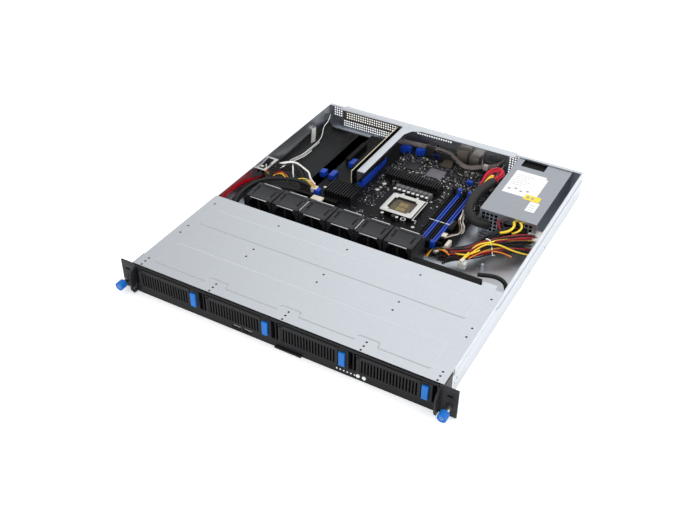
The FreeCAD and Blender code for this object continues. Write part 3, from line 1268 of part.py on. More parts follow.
# Routes: x, distance from the front face, height.
POWER_SLEEVE = [
    (167, 356.7, 15),
    (167, 326, 15),
    (149, 306, 12),
    (122, 306, 12),
    (103, 326, 15),
    (102, 366, 21),
    (100, 408, 26),
    (98.5, 445.7, 24.8),
]
FAN_LEADS = [
    (214, 334.4, 20),
    (213, 320, 20.5),
    (203, 310, 24),
    (188, 306, 28),
    (168, 303, 31),
    (151, 290, 28),
    (139.5, 275, 11.5),
    (137.5, 258.9, 9.8),
]
DRIVE_LEADS = [
    (156, 356.7, 14),
    (156, 341, 14),
    (157, 318, 24.5),
    (163, 294, 22),
    (171, 268, 13),
    (165, 232, 10),
    (147, 205, 9),
    (147, 180, 9),
]
DATA_CABLE = [
    (-178, 179.9, 8.5),
    (-178, 193, 8.5),
    (-194, 203, 13),
    (-207, 222, 20),
    (-210, 246, 22),
    (-207, 268, 17),
    (-194, 292, 9),
    (-178, 318, 5.8),
    (-160, 345, 8),
    (-147, 360, 12),
    (-132.4, 360, 12),
]
PANEL_CABLE = [
    (-199, 174, 22),
    (-200, 190, 22),
    (-203, 212, 28),
    (-203, 242, 29),
    (-192, 267, 25),
    (-168, 284, 19),
    (-145, 296, 12),
    (-126.4, 296, 11.5),
]
SWITCH_LEAD = [
    (-202.9, 303, 30),
    (-193, 304, 30.5),
    (-186, 318, 34),
    (-174, 330, 34),
    (-158, 325, 29),
    (-148, 310, 12.5),
    (-134.5, 310, 11.8),
]


def make_cables():
    make_cable("power_sleeve", [(s.sleeve_cable_r, POWER_SLEEVE)])
    make_cable("drive_harness", [(s.harness_r, FAN_LEADS), (s.harness_r, DRIVE_LEADS)])
    make_cable("sata_cables", [(s.data_cable_r, DATA_CABLE)])
    make_cable("signal_cables", [(s.panel_cable_r, PANEL_CABLE), (s.lead_r, SWITCH_LEAD)])
    plugs = [
        block(("94", "front + 446", "main_top + 12.3"), ("9", "50", "9")),
        block(("half_width - chassis_sheet - seat_gap - 11", "front + 335", "14"), ("11", "22", "12")),
        block(("132", "front + 250", "5"), ("11", "8", "9")),
    ]
    group("cable_plugs", plugs)


# ---------------------------------------------------------------- the whole server


def make_all():
    make_chassis()
    make_front_cover()
    make_bezel()
    make_bay_guides()
    for side, name in ((-1, "left"), (1, "right")):
        make_ear(side, f"rack_ear_{name}")
        make_rack_screw(side, name)
    for k in range(4):
        make_tray(k)
        make_lever(k)
        make_latch_button(k)
    make_front_keys()
    make_front_board()
    make_tag()
    make_backplane()
    make_fans()
    make_motherboard()
    make_board_parts()
    make_socket()
    make_load_plate()
    make_load_lever()
    make_memory_slots()
    make_heatsinks()
    make_ports()
    make_riser()
    make_riser_bracket()
    make_slot_cover()
    make_insulator()
    make_psu()
    make_lid_switch()
    make_cables()


def check_and_write():
    doc.recompute()
    failed = [f"{item.Label} {item.State}" for item in doc.Objects if {"Invalid", "Error"} & set(item.State)]
    for item in NODES:
        if item.Shape.isNull() or not item.Shape.isValid() or not item.Shape.Solids:
            failed.append(f"{item.Label} has no valid solid")
    if failed:
        raise RuntimeError("; ".join(failed))
    os.makedirs("parts", exist_ok=True)
    for item in NODES:
        item.Shape.exportStep(f"parts/{item.Label}.step")
    print(f"{len(NODES)} sub-parts, {sum(len(item.Shape.Solids) for item in NODES)} solids")


make_all()
check_and_write()
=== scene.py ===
"""Looks of the 1U rack server: finishes, wires, small parts, light and camera. Metres, in the CAD's frame."""

import json
import math
import random

import bmesh
import bpy
from mathutils import Matrix, Vector

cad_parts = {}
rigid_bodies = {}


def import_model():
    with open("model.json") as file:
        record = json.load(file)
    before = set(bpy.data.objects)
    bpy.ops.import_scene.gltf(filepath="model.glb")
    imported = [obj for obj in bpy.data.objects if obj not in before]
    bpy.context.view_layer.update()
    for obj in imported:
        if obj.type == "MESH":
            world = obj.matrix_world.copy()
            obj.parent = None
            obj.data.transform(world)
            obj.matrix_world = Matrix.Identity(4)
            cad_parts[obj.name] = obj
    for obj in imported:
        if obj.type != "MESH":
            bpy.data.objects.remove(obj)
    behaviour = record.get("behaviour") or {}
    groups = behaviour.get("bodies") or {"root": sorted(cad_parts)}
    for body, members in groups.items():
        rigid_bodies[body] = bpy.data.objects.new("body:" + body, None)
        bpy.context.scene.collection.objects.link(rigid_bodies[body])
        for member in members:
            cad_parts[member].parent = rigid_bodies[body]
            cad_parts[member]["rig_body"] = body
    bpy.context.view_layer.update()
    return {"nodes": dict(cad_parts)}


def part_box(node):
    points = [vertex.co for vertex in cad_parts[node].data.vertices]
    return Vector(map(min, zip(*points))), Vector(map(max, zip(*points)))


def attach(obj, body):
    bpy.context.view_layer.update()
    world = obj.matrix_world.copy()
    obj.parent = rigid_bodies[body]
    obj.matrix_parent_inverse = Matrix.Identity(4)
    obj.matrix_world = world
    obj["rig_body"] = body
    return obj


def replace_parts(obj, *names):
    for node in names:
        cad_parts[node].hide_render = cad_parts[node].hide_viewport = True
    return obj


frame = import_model()
MM = 0.001

# Places and steps of the small parts and wires, in millimetres in the CAD's frame.
FRONT_TO_MIDDLE = 257.5
BOARD_TOP = 7.9
SOCKET_FIELD = 12.95
SUPPLY_TOP = 41.02
FAN_TOP = 40.64
FAN_PITCH = 45.1
FIRST_FAN = -167.9
MEMORY_PITCH = 8.4

# How often a part repeats.
FANS = 6
TRAYS = 4
MEMORY_SLOTS = 4

# Widths of rounded edges, in metres.
CUT_EDGE = 0.0002
FOLDED_EDGE = 0.0003
MOULDED_EDGE = 0.0004
FRAME_EDGE = 0.0006

# ---------------------------------------------------------------- materials


def material(name, color, rough, metal=0.0, **sockets):
    """A material with a Principled shader; a further socket is named with _ for each space."""
    mat = bpy.data.materials.new(name)
    mat.use_nodes = True
    shader = mat.node_tree.nodes["Principled BSDF"]
    shader.inputs["Base Color"].default_value = (*color, 1)
    shader.inputs["Roughness"].default_value = rough
    shader.inputs["Metallic"].default_value = metal
    for socket, value in sockets.items():
        shader.inputs[socket.replace("_", " ")].default_value = value
    return mat


def add_node(mat, kind, inputs=(), **settings):
    """Adds a node, sets its properties, and links or sets its inputs by name."""
    node = mat.node_tree.nodes.new(kind)
    for key, value in settings.items():
        setattr(node, key, value)
    for key, value in dict(inputs).items():
        if isinstance(value, bpy.types.NodeSocket):
            mat.node_tree.links.new(value, node.inputs[key])
        else:
            node.inputs[key].default_value = value
    return node


def place(mat, stretch=(1, 1, 1)):
    """Object coordinates, stretched along an axis for brushed or grained finishes."""
    coords = add_node(mat, "ShaderNodeTexCoord")
    mapping = add_node(mat, "ShaderNodeMapping", {"Vector": coords.outputs["Object"], "Scale": stretch})
    return mapping.outputs["Vector"]


def noise(mat, scale, detail=2.0, stretch=(1, 1, 1)):
    """Plain noise, 0 to 1, with most of its values near the middle."""
    inputs = {"Vector": place(mat, stretch), "Scale": scale, "Detail": detail}
    node = add_node(mat, "ShaderNodeTexNoise", inputs)
    return node.outputs["Fac"]


def spread(mat, factor, low, high):
    """A noise's middle range stretched from low to high."""
    inputs = {"Value": factor, "From Min": 0.3, "From Max": 0.7, "To Min": low, "To Max": high}
    node = add_node(mat, "ShaderNodeMapRange", inputs)
    return node.outputs["Result"]


def multiply(mat, first, second):
    node = add_node(mat, "ShaderNodeMath", {0: first, 1: second}, operation="MULTIPLY")
    return node.outputs[0]


def blend_colors(mat, factor, first, second):
    """A colour between two; inputs 6 and 7 and output 2 are the mix node's colour sockets."""
    node = add_node(mat, "ShaderNodeMix", {"Factor": factor}, data_type="RGBA")
    node.inputs[6].default_value = (*first, 1)
    node.inputs[7].default_value = (*second, 1)
    return node.outputs[2]


def connect(mat, output, socket):
    shader = mat.node_tree.nodes["Principled BSDF"]
    mat.node_tree.links.new(output, shader.inputs[socket])


def bump(mat, height, distance, strength=1.0):
    node = add_node(mat, "ShaderNodeBump", {"Height": height, "Distance": distance, "Strength": strength})
    connect(mat, node.outputs["Normal"], "Normal")


def sheet_steel(name, color, rough, spangle=0.03):
    """Zinc-plated sheet: faint crystals, faint rolling marks, satin shine."""
    mat = material(name, color, rough, 1.0)
    cells = add_node(mat, "ShaderNodeTexVoronoi", {"Vector": place(mat), "Scale": 260}, feature="F1")
    grey = add_node(mat, "ShaderNodeRGBToBW", {"Color": cells.outputs["Color"]})
    dark = tuple(c * (1 - spangle) for c in color)
    connect(mat, blend_colors(mat, grey.outputs["Val"], dark, color), "Base Color")
    connect(mat, spread(mat, noise(mat, 60, 3, (1, 12, 1)), rough * 0.88, rough * 1.14), "Roughness")
    bump(mat, noise(mat, 900, 2, (1, 8, 1)), 0.00003, 0.4)
    return mat


def powder_coat(name, color, rough, level=0.5):
    """Black painted sheet with the fine orange peel of powder coat."""
    mat = material(name, color, rough, Specular_IOR_Level=level)
    tint = tuple(c * 1.35 for c in color)
    connect(mat, blend_colors(mat, noise(mat, 90, 3), color, tint), "Base Color")
    connect(mat, spread(mat, noise(mat, 300, 2), rough * 0.9, rough * 1.15), "Roughness")
    bump(mat, noise(mat, 1600, 2), 0.00006, 0.5)
    return mat


def moulded(name, color, rough, level=0.5):
    """Injection-moulded plastic with a fine texture."""
    mat = material(name, color, rough, Specular_IOR_Level=level)
    tint = tuple(min(1, c * 1.18 + 0.002) for c in color)
    connect(mat, blend_colors(mat, noise(mat, 40, 2), color, tint), "Base Color")
    connect(mat, spread(mat, noise(mat, 200, 2), rough * 0.9, rough * 1.12), "Roughness")
    bump(mat, noise(mat, 1400, 1), 0.00004, 0.35)
    return mat


def circuit(name, mask, trace, rough):
    """Solder mask over copper: fine parallel traces in patches."""
    mat = material(name, mask, rough, 0.0, Specular_IOR_Level=0.2)
    rows = {"Brick Width": 0.009, "Row Height": 0.0011, "Mortar Size": 0.00018}
    lines = add_node(mat, "ShaderNodeTexBrick", {"Vector": place(mat), "Scale": 1.0, **rows})
    patches = spread(mat, noise(mat, 55, 4), 0.0, 1.0)
    factor = multiply(mat, lines.outputs["Fac"], patches)
    connect(mat, blend_colors(mat, factor, mask, trace), "Base Color")
    bump(mat, factor, 0.00004, 0.5)
    return mat


def braid(name, color, rough, pitch):
    """Woven sleeve with a fine criss-cross."""
    mat = material(name, color, rough)
    threads = []
    for direction in ("DIAGONAL", "Y"):
        inputs = {"Vector": place(mat), "Scale": pitch, "Distortion": 0.3}
        threads.append(add_node(mat, "ShaderNodeTexWave", inputs, bands_direction=direction))
    weave = multiply(mat, threads[0].outputs["Fac"], threads[1].outputs["Fac"])
    light = tuple(c * 3 + 0.02 for c in color)
    connect(mat, blend_colors(mat, weave, color, light), "Base Color")
    bump(mat, weave, 0.0003, 0.6)
    return mat


def gold_field(name):
    """The socket's field of contacts: a fine grid of gold springs in dark plastic."""
    plastic, spring = (0.05, 0.04, 0.03), (0.34, 0.28, 0.16)
    mat = material(name, plastic, 0.4, 0.3)
    checks = add_node(mat, "ShaderNodeTexChecker", {"Vector": place(mat), "Scale": 1300})
    patches = spread(mat, noise(mat, 160, 3), 0.15, 1.0)
    factor = multiply(mat, checks.outputs["Fac"], patches)
    connect(mat, blend_colors(mat, factor, plastic, spring), "Base Color")
    connect(mat, factor, "Metallic")
    bump(mat, checks.outputs["Fac"], 0.0002, 0.6)
    return mat


STEEL = sheet_steel("zinc_steel", (0.80, 0.83, 0.87), 0.34)
STEEL_DULL = sheet_steel("zinc_steel_dull", (0.50, 0.53, 0.56), 0.42)
STEEL_CASE = sheet_steel("psu_steel", (0.50, 0.52, 0.56), 0.45)
STEEL_FLOOR = sheet_steel("zinc_steel_floor", (0.68, 0.71, 0.76), 0.42)
# Painted shade: a dark copy of the zinc steel for the pan's inner walls.
STEEL_PAINTED_SHADE = sheet_steel("zinc_steel_painted_shade", (0.105, 0.12, 0.13), 0.6)
STEEL_PLATED = sheet_steel("plated_steel", (0.82, 0.81, 0.78), 0.24, 0.02)
BLACK_STEEL = powder_coat("black_steel", (0.014, 0.014, 0.015), 0.42, 0.35)
BLACK = moulded("black_plastic", (0.009, 0.009, 0.010), 0.40, level=0.25)
FAN_BLACK = moulded("fan_black", (0.016, 0.016, 0.019), 0.38, level=0.35)
# Black plastic, and also painted shade: the same deep black darkens the ears' slots, the supply's openings,
# the fans' top slots and the lid switch's open top.
DEEP_BLACK = moulded("deep_black_plastic_and_painted_shade", (0.004, 0.004, 0.004), 0.55, level=0.15)
BLUE = moulded("blue_plastic", (0.005, 0.14, 0.50), 0.36, level=0.4)
SLOT_BLUE = moulded("slot_blue_plastic", (0.006, 0.040, 0.34), 0.34, level=0.4)
# White plastic, and also the painted highlight at the thumb screws' centres.
WHITE = moulded("white_plastic", (0.68, 0.67, 0.62), 0.38)
IVORY = moulded("ivory_plastic", (0.60, 0.56, 0.46), 0.45)
BOARD = circuit("main_board", (0.004, 0.004, 0.005), (0.016, 0.018, 0.020), 0.5)
BOARD_EDGE = moulded("board_edge", (0.50, 0.45, 0.30), 0.6)
# Black chip plastic, and also painted shade on the rear ports that lie in the dark.
CHIP = moulded("chip_black_and_painted_shade", (0.018, 0.018, 0.019), 0.4, level=0.3)
CHIP_GREY = moulded("chip_grey", (0.115, 0.105, 0.125), 0.4)
CHIP_BROWN = moulded("chip_brown", (0.050, 0.040, 0.030), 0.45, level=0.3)
CHOKE = moulded("choke_grey", (0.12, 0.12, 0.125), 0.5)
SINK = powder_coat("black_aluminium", (0.008, 0.008, 0.009), 0.36, 0.3)
# Steel of the capacitor cans, and also the painted highlights along the fan cage's edges.
CAN_AND_HIGHLIGHT = sheet_steel("capacitor_can_and_painted_highlight", (0.86, 0.86, 0.85), 0.28, 0.02)
GOLD = material("gold_contact", (0.62, 0.46, 0.20), 0.42, 1.0)
GOLD_FIELD = gold_field("contact_field")
SHELL = sheet_steel("port_shell", (0.62, 0.57, 0.50), 0.36, 0.03)
TAN = sheet_steel("tan_steel", (0.50, 0.45, 0.37), 0.42, 0.04)
FILM = moulded("black_film", (0.022, 0.023, 0.024), 0.36, level=0.4)
SLEEVE = braid("black_sleeve", (0.008, 0.007, 0.007), 0.55, 380)
CABLE_BLACK = moulded("wire_black", (0.010, 0.010, 0.010), 0.45, level=0.35)
WIRE_RED = moulded("wire_red", (0.24, 0.006, 0.010), 0.35)
BRIGHT_RED = moulded("wire_bright_red", (0.56, 0.006, 0.030), 0.3)
FLAT_RED = moulded("data_red", (0.66, 0.008, 0.030), 0.35)
WIRE_YELLOW = moulded("wire_yellow", (0.86, 0.60, 0.03), 0.35)
WIRE_ORANGE = moulded("wire_orange", (0.74, 0.20, 0.02), 0.35)
WIRE_GREEN = moulded("wire_green", (0.04, 0.22, 0.06), 0.35)
WIRE_WHITE = moulded("wire_white", (0.78, 0.77, 0.74), 0.4)
WIRE_BROWN = moulded("wire_brown", (0.14, 0.05, 0.02), 0.4)
CLEAR = material("clear_nylon", (0.80, 0.80, 0.76), 0.25, 0.0, Alpha=0.75)
RIBBON = moulded("ribbon_grey", (0.34, 0.29, 0.28), 0.45)
LABEL = moulded("label_white", (0.80, 0.80, 0.80), 0.45)
LABEL_YELLOW = moulded("label_yellow", (0.86, 0.62, 0.03), 0.45)
LABEL_INK = moulded("label_grey", (0.30, 0.30, 0.31), 0.45)
LAMP_WHITE = material("status_lamp", (0.85, 0.87, 0.88), 0.3, 0.0, Emission_Strength=0.15)

# ---------------------------------------------------------------- meshes


def new_object(name, data, body):
    piece = bpy.data.objects.new(name, data)
    bpy.context.scene.collection.objects.link(piece)
    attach(piece, body)
    return piece


def from_bmesh(name, bm, materials, body="server", smooth=35):
    """Makes a piece of a bmesh, smooth except over sharp edges."""
    mesh = bpy.data.meshes.new(name)
    bm.normal_update()
    limit = math.radians(smooth)
    for face in bm.faces:
        face.smooth = True
    for edge in bm.edges:
        edge.smooth = edge.is_manifold and edge.calc_face_angle(0) < limit
    bm.to_mesh(mesh)
    bm.free()
    for mat in materials:
        mesh.materials.append(mat)
    return new_object(name, mesh, body)


def parts_of(bm):
    """The faces of each separate shell, with the shell's box."""
    left = set(bm.faces)
    shells = []
    while left:
        stack = [left.pop()]
        faces = list(stack)
        while stack:
            for edge in stack.pop().edges:
                for face in edge.link_faces:
                    if face in left:
                        left.discard(face)
                        stack.append(face)
                        faces.append(face)
        corners = [v.co for face in faces for v in face.verts]
        low = Vector(map(min, zip(*corners)))
        high = Vector(map(max, zip(*corners)))
        shells.append((faces, low, high))
    return shells


def clean_copy(node, flat=1.0):
    """A CAD node's mesh, joined up and without the lines between triangles that lie within flat degrees."""
    bm = bmesh.new()
    bm.from_mesh(frame["nodes"][node].data)
    bmesh.ops.remove_doubles(bm, verts=bm.verts, dist=2e-6)
    if flat:
        bmesh.ops.dissolve_limit(bm, angle_limit=math.radians(flat), verts=bm.verts, edges=bm.edges)
    for face in bm.faces:
        face.material_index = 0
    return bm


def soften(bm, width, angle=40):
    """Rounds the sharp edges a little, as folded, moulded and cut edges are."""
    bm.normal_update()
    sharp = [e for e in bm.edges if e.is_manifold and e.calc_face_angle(0) > math.radians(angle)]
    bmesh.ops.bevel(bm, geom=sharp, offset=width, segments=2, profile=0.6, affect="EDGES", clamp_overlap=True)


def dress(node, materials, choose=None, width=0.0, flat=1.0):
    """Finishes a CAD node with its own clean mesh. choose(face, low, high) gives a face's material."""
    bm = clean_copy(node, flat)
    if choose is not None:
        for faces, low, high in parts_of(bm):
            for face in faces:
                face.material_index = choose(face, low, high)
    if width:
        soften(bm, width)
    cad = frame["nodes"][node]
    piece = from_bmesh(f"{node}_finish", bm, materials, cad["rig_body"])
    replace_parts(piece, node)


def paint(verts, mat):
    for face in {f for v in verts for f in v.link_faces}:
        face.material_index = mat


def add_box(bm, low, high, mat=0):
    made = bmesh.ops.create_cube(bm, size=1)
    size = Vector(high) - Vector(low)
    middle = (Vector(high) + Vector(low)) / 2
    for v in made["verts"]:
        v.co = Vector(c * s for c, s in zip(v.co, size)) + middle
    paint(made["verts"], mat)


def add_rod(bm, start, end, radius, mat=0, sides=16, taper=1.0):
    start, end = Vector(start), Vector(end)
    turn = (end - start).to_track_quat("Z", "Y").to_matrix().to_4x4()
    made = bmesh.ops.create_cone(
        bm,
        cap_ends=True,
        segments=sides,
        radius1=radius,
        radius2=radius * taper,
        depth=(end - start).length,
        matrix=Matrix.Translation((start + end) / 2) @ turn,
    )
    paint(made["verts"], mat)


def wire(name, points, radius, mat):
    """A round wire along a smooth line that its control points guide."""
    curve = bpy.data.curves.new(name, "CURVE")
    curve.dimensions = "3D"
    curve.resolution_u = 8
    spline = curve.splines.new("NURBS")
    spline.points.add(len(points) - 1)
    for point, place_at in zip(spline.points, points):
        point.co = (*place_at, 1)
    spline.order_u = 3
    spline.use_endpoint_u = True
    curve.bevel_depth = radius
    curve.bevel_resolution = 3
    curve.use_fill_caps = True
    curve.materials.append(mat)
    return new_object(name, curve, "server")


# ---------------------------------------------------------------- finishes of the CAD nodes


def upward(face):
    return face.normal.z > 0.9


def pan_piece(face, low, high):
    """The pan's outside is bright and its floor duller; its inner walls near the sides get a dark copy of the
    steel as painted shade.
    """
    centre = face.calc_center_median()
    inside_wall, under_rim, inside_rear = 219.5 * MM, 42 * MM, 257 * MM
    near_wall = 210 * MM
    if abs(centre.x) > inside_wall or centre.z > under_rim or centre.y > inside_rear:
        return 0
    return 2 if abs(face.normal.x) > 0.7 and abs(centre.x) > near_wall else 1


def finish_cover():
    """The front lid, with the panels' edges pressed to slopes."""
    bm = clean_copy("front_cover")
    bm.normal_update()
    slope_wide, slope_deep = 1.3 * MM, 0.46 * MM
    near_top = max(v.co.z for v in bm.verts) - 0.1 * MM
    raised = [f for f in bm.faces if upward(f) and f.calc_center_median().z > near_top]
    bmesh.ops.inset_region(bm, faces=raised, thickness=slope_wide, depth=0, use_even_offset=True)
    inner = {v for f in raised for v in f.verts}
    for v in bm.verts:
        if v.co.z > near_top and v not in inner:
            v.co.z -= slope_deep
    piece = from_bmesh("front_cover_finish", bm, [STEEL], smooth=8)
    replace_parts(piece, "front_cover")


def finish_shell():
    dress("chassis_pan", [STEEL, STEEL_FLOOR, STEEL_PAINTED_SHADE], pan_piece)
    finish_cover()
    dress("riser_bracket", [STEEL], width=FOLDED_EDGE)
    dress("slot_cover", [TAN])
    dress("insulator_sheet", [FILM])
    for name in ("rack_ear_left", "rack_ear_right"):
        dress(name, [BLACK_STEEL], width=FOLDED_EDGE)
    # Painted shade: black plates behind the ears' slots make the slots look dark.
    ear_shade = [(x, 2.1, 28.4, 11, 0.5, 6, 0) for x in (-237, 226)]
    boxes("ear_slot_painted_shade", ear_shade, [DEEP_BLACK])
    dress("front_bezel", [BLACK])
    dress("bay_guides", [BLACK_STEEL])


def finish_front():
    for k in range(1, TRAYS + 1):
        dress(f"tray_{k}", [BLACK, STEEL_DULL], tray_piece, FOLDED_EDGE)
        dress(f"lever_{k}", [BLACK])
        dress(f"latch_button_{k}", [BLUE], width=FOLDED_EDGE)
    for name in ("power_button", "locate_button"):
        dress(name, [LABEL], width=MOULDED_EDGE)
    dress("asset_tag", [BLACK], width=CUT_EDGE)
    for side in ("left", "right"):
        finish_knob(f"thumb_screw_{side}")
        dress(f"thumb_sleeve_{side}", [STEEL_PLATED])
    dress("front_panel_board", [BOARD, LAMP_WHITE, STEEL_PLATED], panel_piece)


def tray_piece(face, low, high):
    """The moulded front is black; the long carrier and what lies behind the front are sheet steel."""
    front_long, front_end = 60 * MM, -250 * MM
    return int((high - low).y > front_long or low.y > front_end)


def finish_knob(node):
    """A blue knob on a bright shaft, with a pale disc as painted highlight for the bright head at its centre,
    and a dark dot just under its face.
    """
    bm = clean_copy(node)
    shaft_wide = 8 * MM
    shells = parts_of(bm)
    for faces, low, high in shells:
        for face in faces:
            face.material_index = int((high - low).x < shaft_wide)
    low = Vector(min(shell[1][i] for shell in shells) for i in range(3))
    high = Vector(max(shell[2][i] for shell in shells) for i in range(3))
    middle = (low + high) / 2
    # Painted highlight: a pale disc in place of the shaft's bright steel head, and a dark dot at its middle.
    for radius, behind, index in ((3.4, 0.12, 2), (1.2, 0.06, 3)):
        front = Vector((middle.x, low.y + behind * MM, middle.z))
        add_rod(bm, front, front + Vector((0, 2 * MM, 0)), radius * MM, index, 24)
    body = frame["nodes"][node]["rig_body"]
    piece = from_bmesh(f"{node}_finish", bm, [BLUE, STEEL_PLATED, WHITE, CHIP], body)
    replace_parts(piece, node)


def panel_piece(face, low, high):
    """Status lamps are small, socket shells deep and tall; the rest is the board."""
    size = high - low
    if size.x < 2.5 * MM:
        return 1
    return 2 if size.y > 10 * MM and size.z > 5 * MM and size.x < 20 * MM else 0


def finish_fans():
    dress("fan_cage", [BLACK_STEEL], width=CUT_EDGE)
    dress("fan_frames", [FAN_BLACK], width=FRAME_EDGE)
    for k in range(1, FANS + 1):
        dress(f"fan_rotor_{k}", [DEEP_BLACK])
    dress("psu_fan_rotor", [DEEP_BLACK])
    dress("backplane", [BOARD, DEEP_BLACK], backplane_piece)


def backplane_piece(face, low, high):
    """The sockets on the long backplane are black."""
    return int((high - low).x < 100 * MM)


def board_piece(face, low, high):
    """Material of a part on the board, told by its size in millimetres and its place."""
    wide, deep, tall = (high - low) / MM
    x, y, _ = (high + low) / (2 * MM)
    across = max(wide, deep)
    if tall < 2.5:
        return 1
    if across < 9 and abs(wide - deep) < 0.2:
        return 3
    if wide < 7.2 and deep < 8 and abs(tall - 8) < 1 and y < 130:
        return 2
    if across > 80 or across < 12 or (15 < deep < 18 and x < -100):
        return 4
    return 5 if x > 85 and deep > 40 else 0


def memory_piece(face, low, high):
    """Every other memory slot is blue."""
    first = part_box("dimm_slots")[0].x
    return round((low.x - first) / (MEMORY_PITCH * MM)) % 2


def finish_board():
    dress("motherboard", [BOARD])
    dress("board_components", [DEEP_BLACK, CHIP, CHOKE, CAN_AND_HIGHLIGHT, SLOT_BLUE, IVORY], board_piece, CUT_EDGE)
    dress("cpu_socket", [CHIP, DEEP_BLACK], socket_piece, flat=0)
    dress("load_plate", [STEEL_PLATED], width=FOLDED_EDGE)
    dress("load_lever", [STEEL_PLATED])
    dress("dimm_slots", [DEEP_BLACK, SLOT_BLUE], memory_piece, CUT_EDGE)
    for k in range(1, MEMORY_SLOTS + 1):
        dress(f"dimm_latch_{k}", [SLOT_BLUE if k % 2 == 0 else DEEP_BLACK], width=FOLDED_EDGE)
    dress("heatsinks", [SINK])
    dress("rear_ports", [SHELL, CHIP], port_piece, CUT_EDGE)
    dress("riser_board", [BOARD, DEEP_BLACK, BOARD_EDGE], riser_piece)
    dress("cable_plugs", [WHITE, DEEP_BLACK], plug_piece, MOULDED_EDGE)


def socket_piece(face, low, high):
    """The socket's floor is darker than its frame."""
    return int(face.calc_center_median().z < 13 * MM)


def port_piece(face, low, high):
    """The middle ports have steel shells; the others, which lie in the dark, get black as painted shade."""
    return int(not 20 * MM < high.x < 63 * MM)


def plug_piece(face, low, high):
    """The long plug is black, the others are white."""
    return int((high - low).y > 40 * MM)


def riser_piece(face, low, high):
    """The thin riser board shows its bare edge; its connectors are black."""
    if (high - low).x < 2 * MM:
        return 2 if abs(face.normal.x) < 0.5 else 0
    return 1


def finish_power():
    dress("psu_case", [STEEL_CASE, DEEP_BLACK], psu_piece)
    dress("lid_switch", [STEEL_PLATED, DEEP_BLACK], switch_piece)
    dress("lid_switch_lever", [DEEP_BLACK])


def switch_piece(face, low, high):
    """The switch's narrow long body is black; its bracket is plated."""
    size = high - low
    return int(size.x < 9 * MM and size.y > 15 * MM)


def psu_piece(face, low, high):
    """Painted shade: the supply's inner faces get deep black, so that its openings look deep."""
    centre = face.calc_center_median()
    past_walls = low.y + 1.5 * MM < centre.y < high.y - 0.2 * MM and low.x + MM < centre.x < high.x - MM
    past_floor = centre.z > low.z + MM or upward(face)
    return int(past_walls and past_floor and centre.z < high.z - MM)


# ---------------------------------------------------------------- small parts and wires


def at(x, d, z):
    """A place in millimetres: x, distance behind the front face, height."""
    return Vector((x, d - FRONT_TO_MIDDLE, z)) * MM


def boxes(name, specs, materials, width=0.0):
    """Boxes in one piece: (x, d, z, size x, size y, size z, material), with edges rounded by width."""
    bm = bmesh.new()
    for x, d, z, wide, deep, tall, mat in specs:
        add_box(bm, at(x, d, z), at(x + wide, d + deep, z + tall), mat)
    if width:
        soften(bm, width * MM)
    from_bmesh(name, bm, materials)


def strand(name, points, radius, mat):
    """A wire with its points and radius in millimetres."""
    return wire(name, [at(*point) for point in points], radius * MM, mat)


def bundle(name, points, count, radius, wide, mats, seed):
    """Loose wires that run together, each a little off the common line."""
    rng = random.Random(seed)
    made = []
    for i in range(count):
        turn = 2 * math.pi * i / count
        line = []
        for x, d, z in points:
            sway = wide * (0.75 + 0.5 * rng.random())
            rise = sway * math.sin(turn)
            line.append((x + sway * math.cos(turn), d + 0.6 * rise, z + rise))
        made.append(strand(f"{name}_{i + 1}", line, radius, mats[i % len(mats)]))
    return made


def smooth_line(points, steps=6):
    """Points along a Catmull-Rom curve through the given ones."""
    line = []
    last = len(points) - 1
    for i in range(last):
        a, b, c, e = (Vector(points[min(max(k, 0), last)]) for k in (i - 1, i, i + 1, i + 2))
        for step in range(steps):
            u = step / steps
            first = 2 * b + (c - a) * u
            second = (2 * a - 5 * b + 4 * c - e) * u * u + (3 * b - a - 3 * c + e) * u**3
            line.append((first + second) / 2)
    line.append(Vector(points[-1]))
    return line


def strip_between(name, points, across, mat, thick=0.5):
    """A flat strip along a line of points; across is its width as a vector in millimetres."""
    bm = bmesh.new()
    half = Vector(across) / 2
    rows = [(bm.verts.new(at(*(p - half))), bm.verts.new(at(*(p + half)))) for p in smooth_line(points)]
    for (a, b), (c, e) in zip(rows, rows[1:]):
        bm.faces.new((a, b, e, c))
    bmesh.ops.solidify(bm, geom=bm.faces[:], thickness=thick * MM)
    return from_bmesh(name, bm, [mat], smooth=50)


def fan_details():
    """Painted shade and highlights: dark patches for the slots in the fans' tops, and bright strips for the
    glints along the cage's edges in front of, behind and between them.
    """
    slots, edges = [], []
    for k in range(FANS):
        x = FIRST_FAN + FAN_PITCH * k
        # Painted shade: thin black patches darken the slots in each fan's top.
        slots += [(x - 17, 226, FAN_TOP, 2.4, 16, 0.2, 0), (x + 13, 223, FAN_TOP, 3, 16, 0.2, 0)]
        # Painted highlight: bright steel strips along the cage's front and rear edges.
        edges += [(x - 13, 210.6, 39.2, 27.5, 1.6, 1.2, 0), (x - 14, 249.7, 39.2, 29, 1.5, 1.2, 0)]
    # Painted highlight: bright strips along the cage's walls between the fans.
    for x in (-100.8, -10.6):
        edges.append((x, 216, 39.4, 1.2, 27, 1.2, 0))
    boxes("fan_slot_shade", slots, [DEEP_BLACK], 0.1)
    boxes("cage_edge_highlights", edges, [CAN_AND_HIGHLIGHT], 0.2)


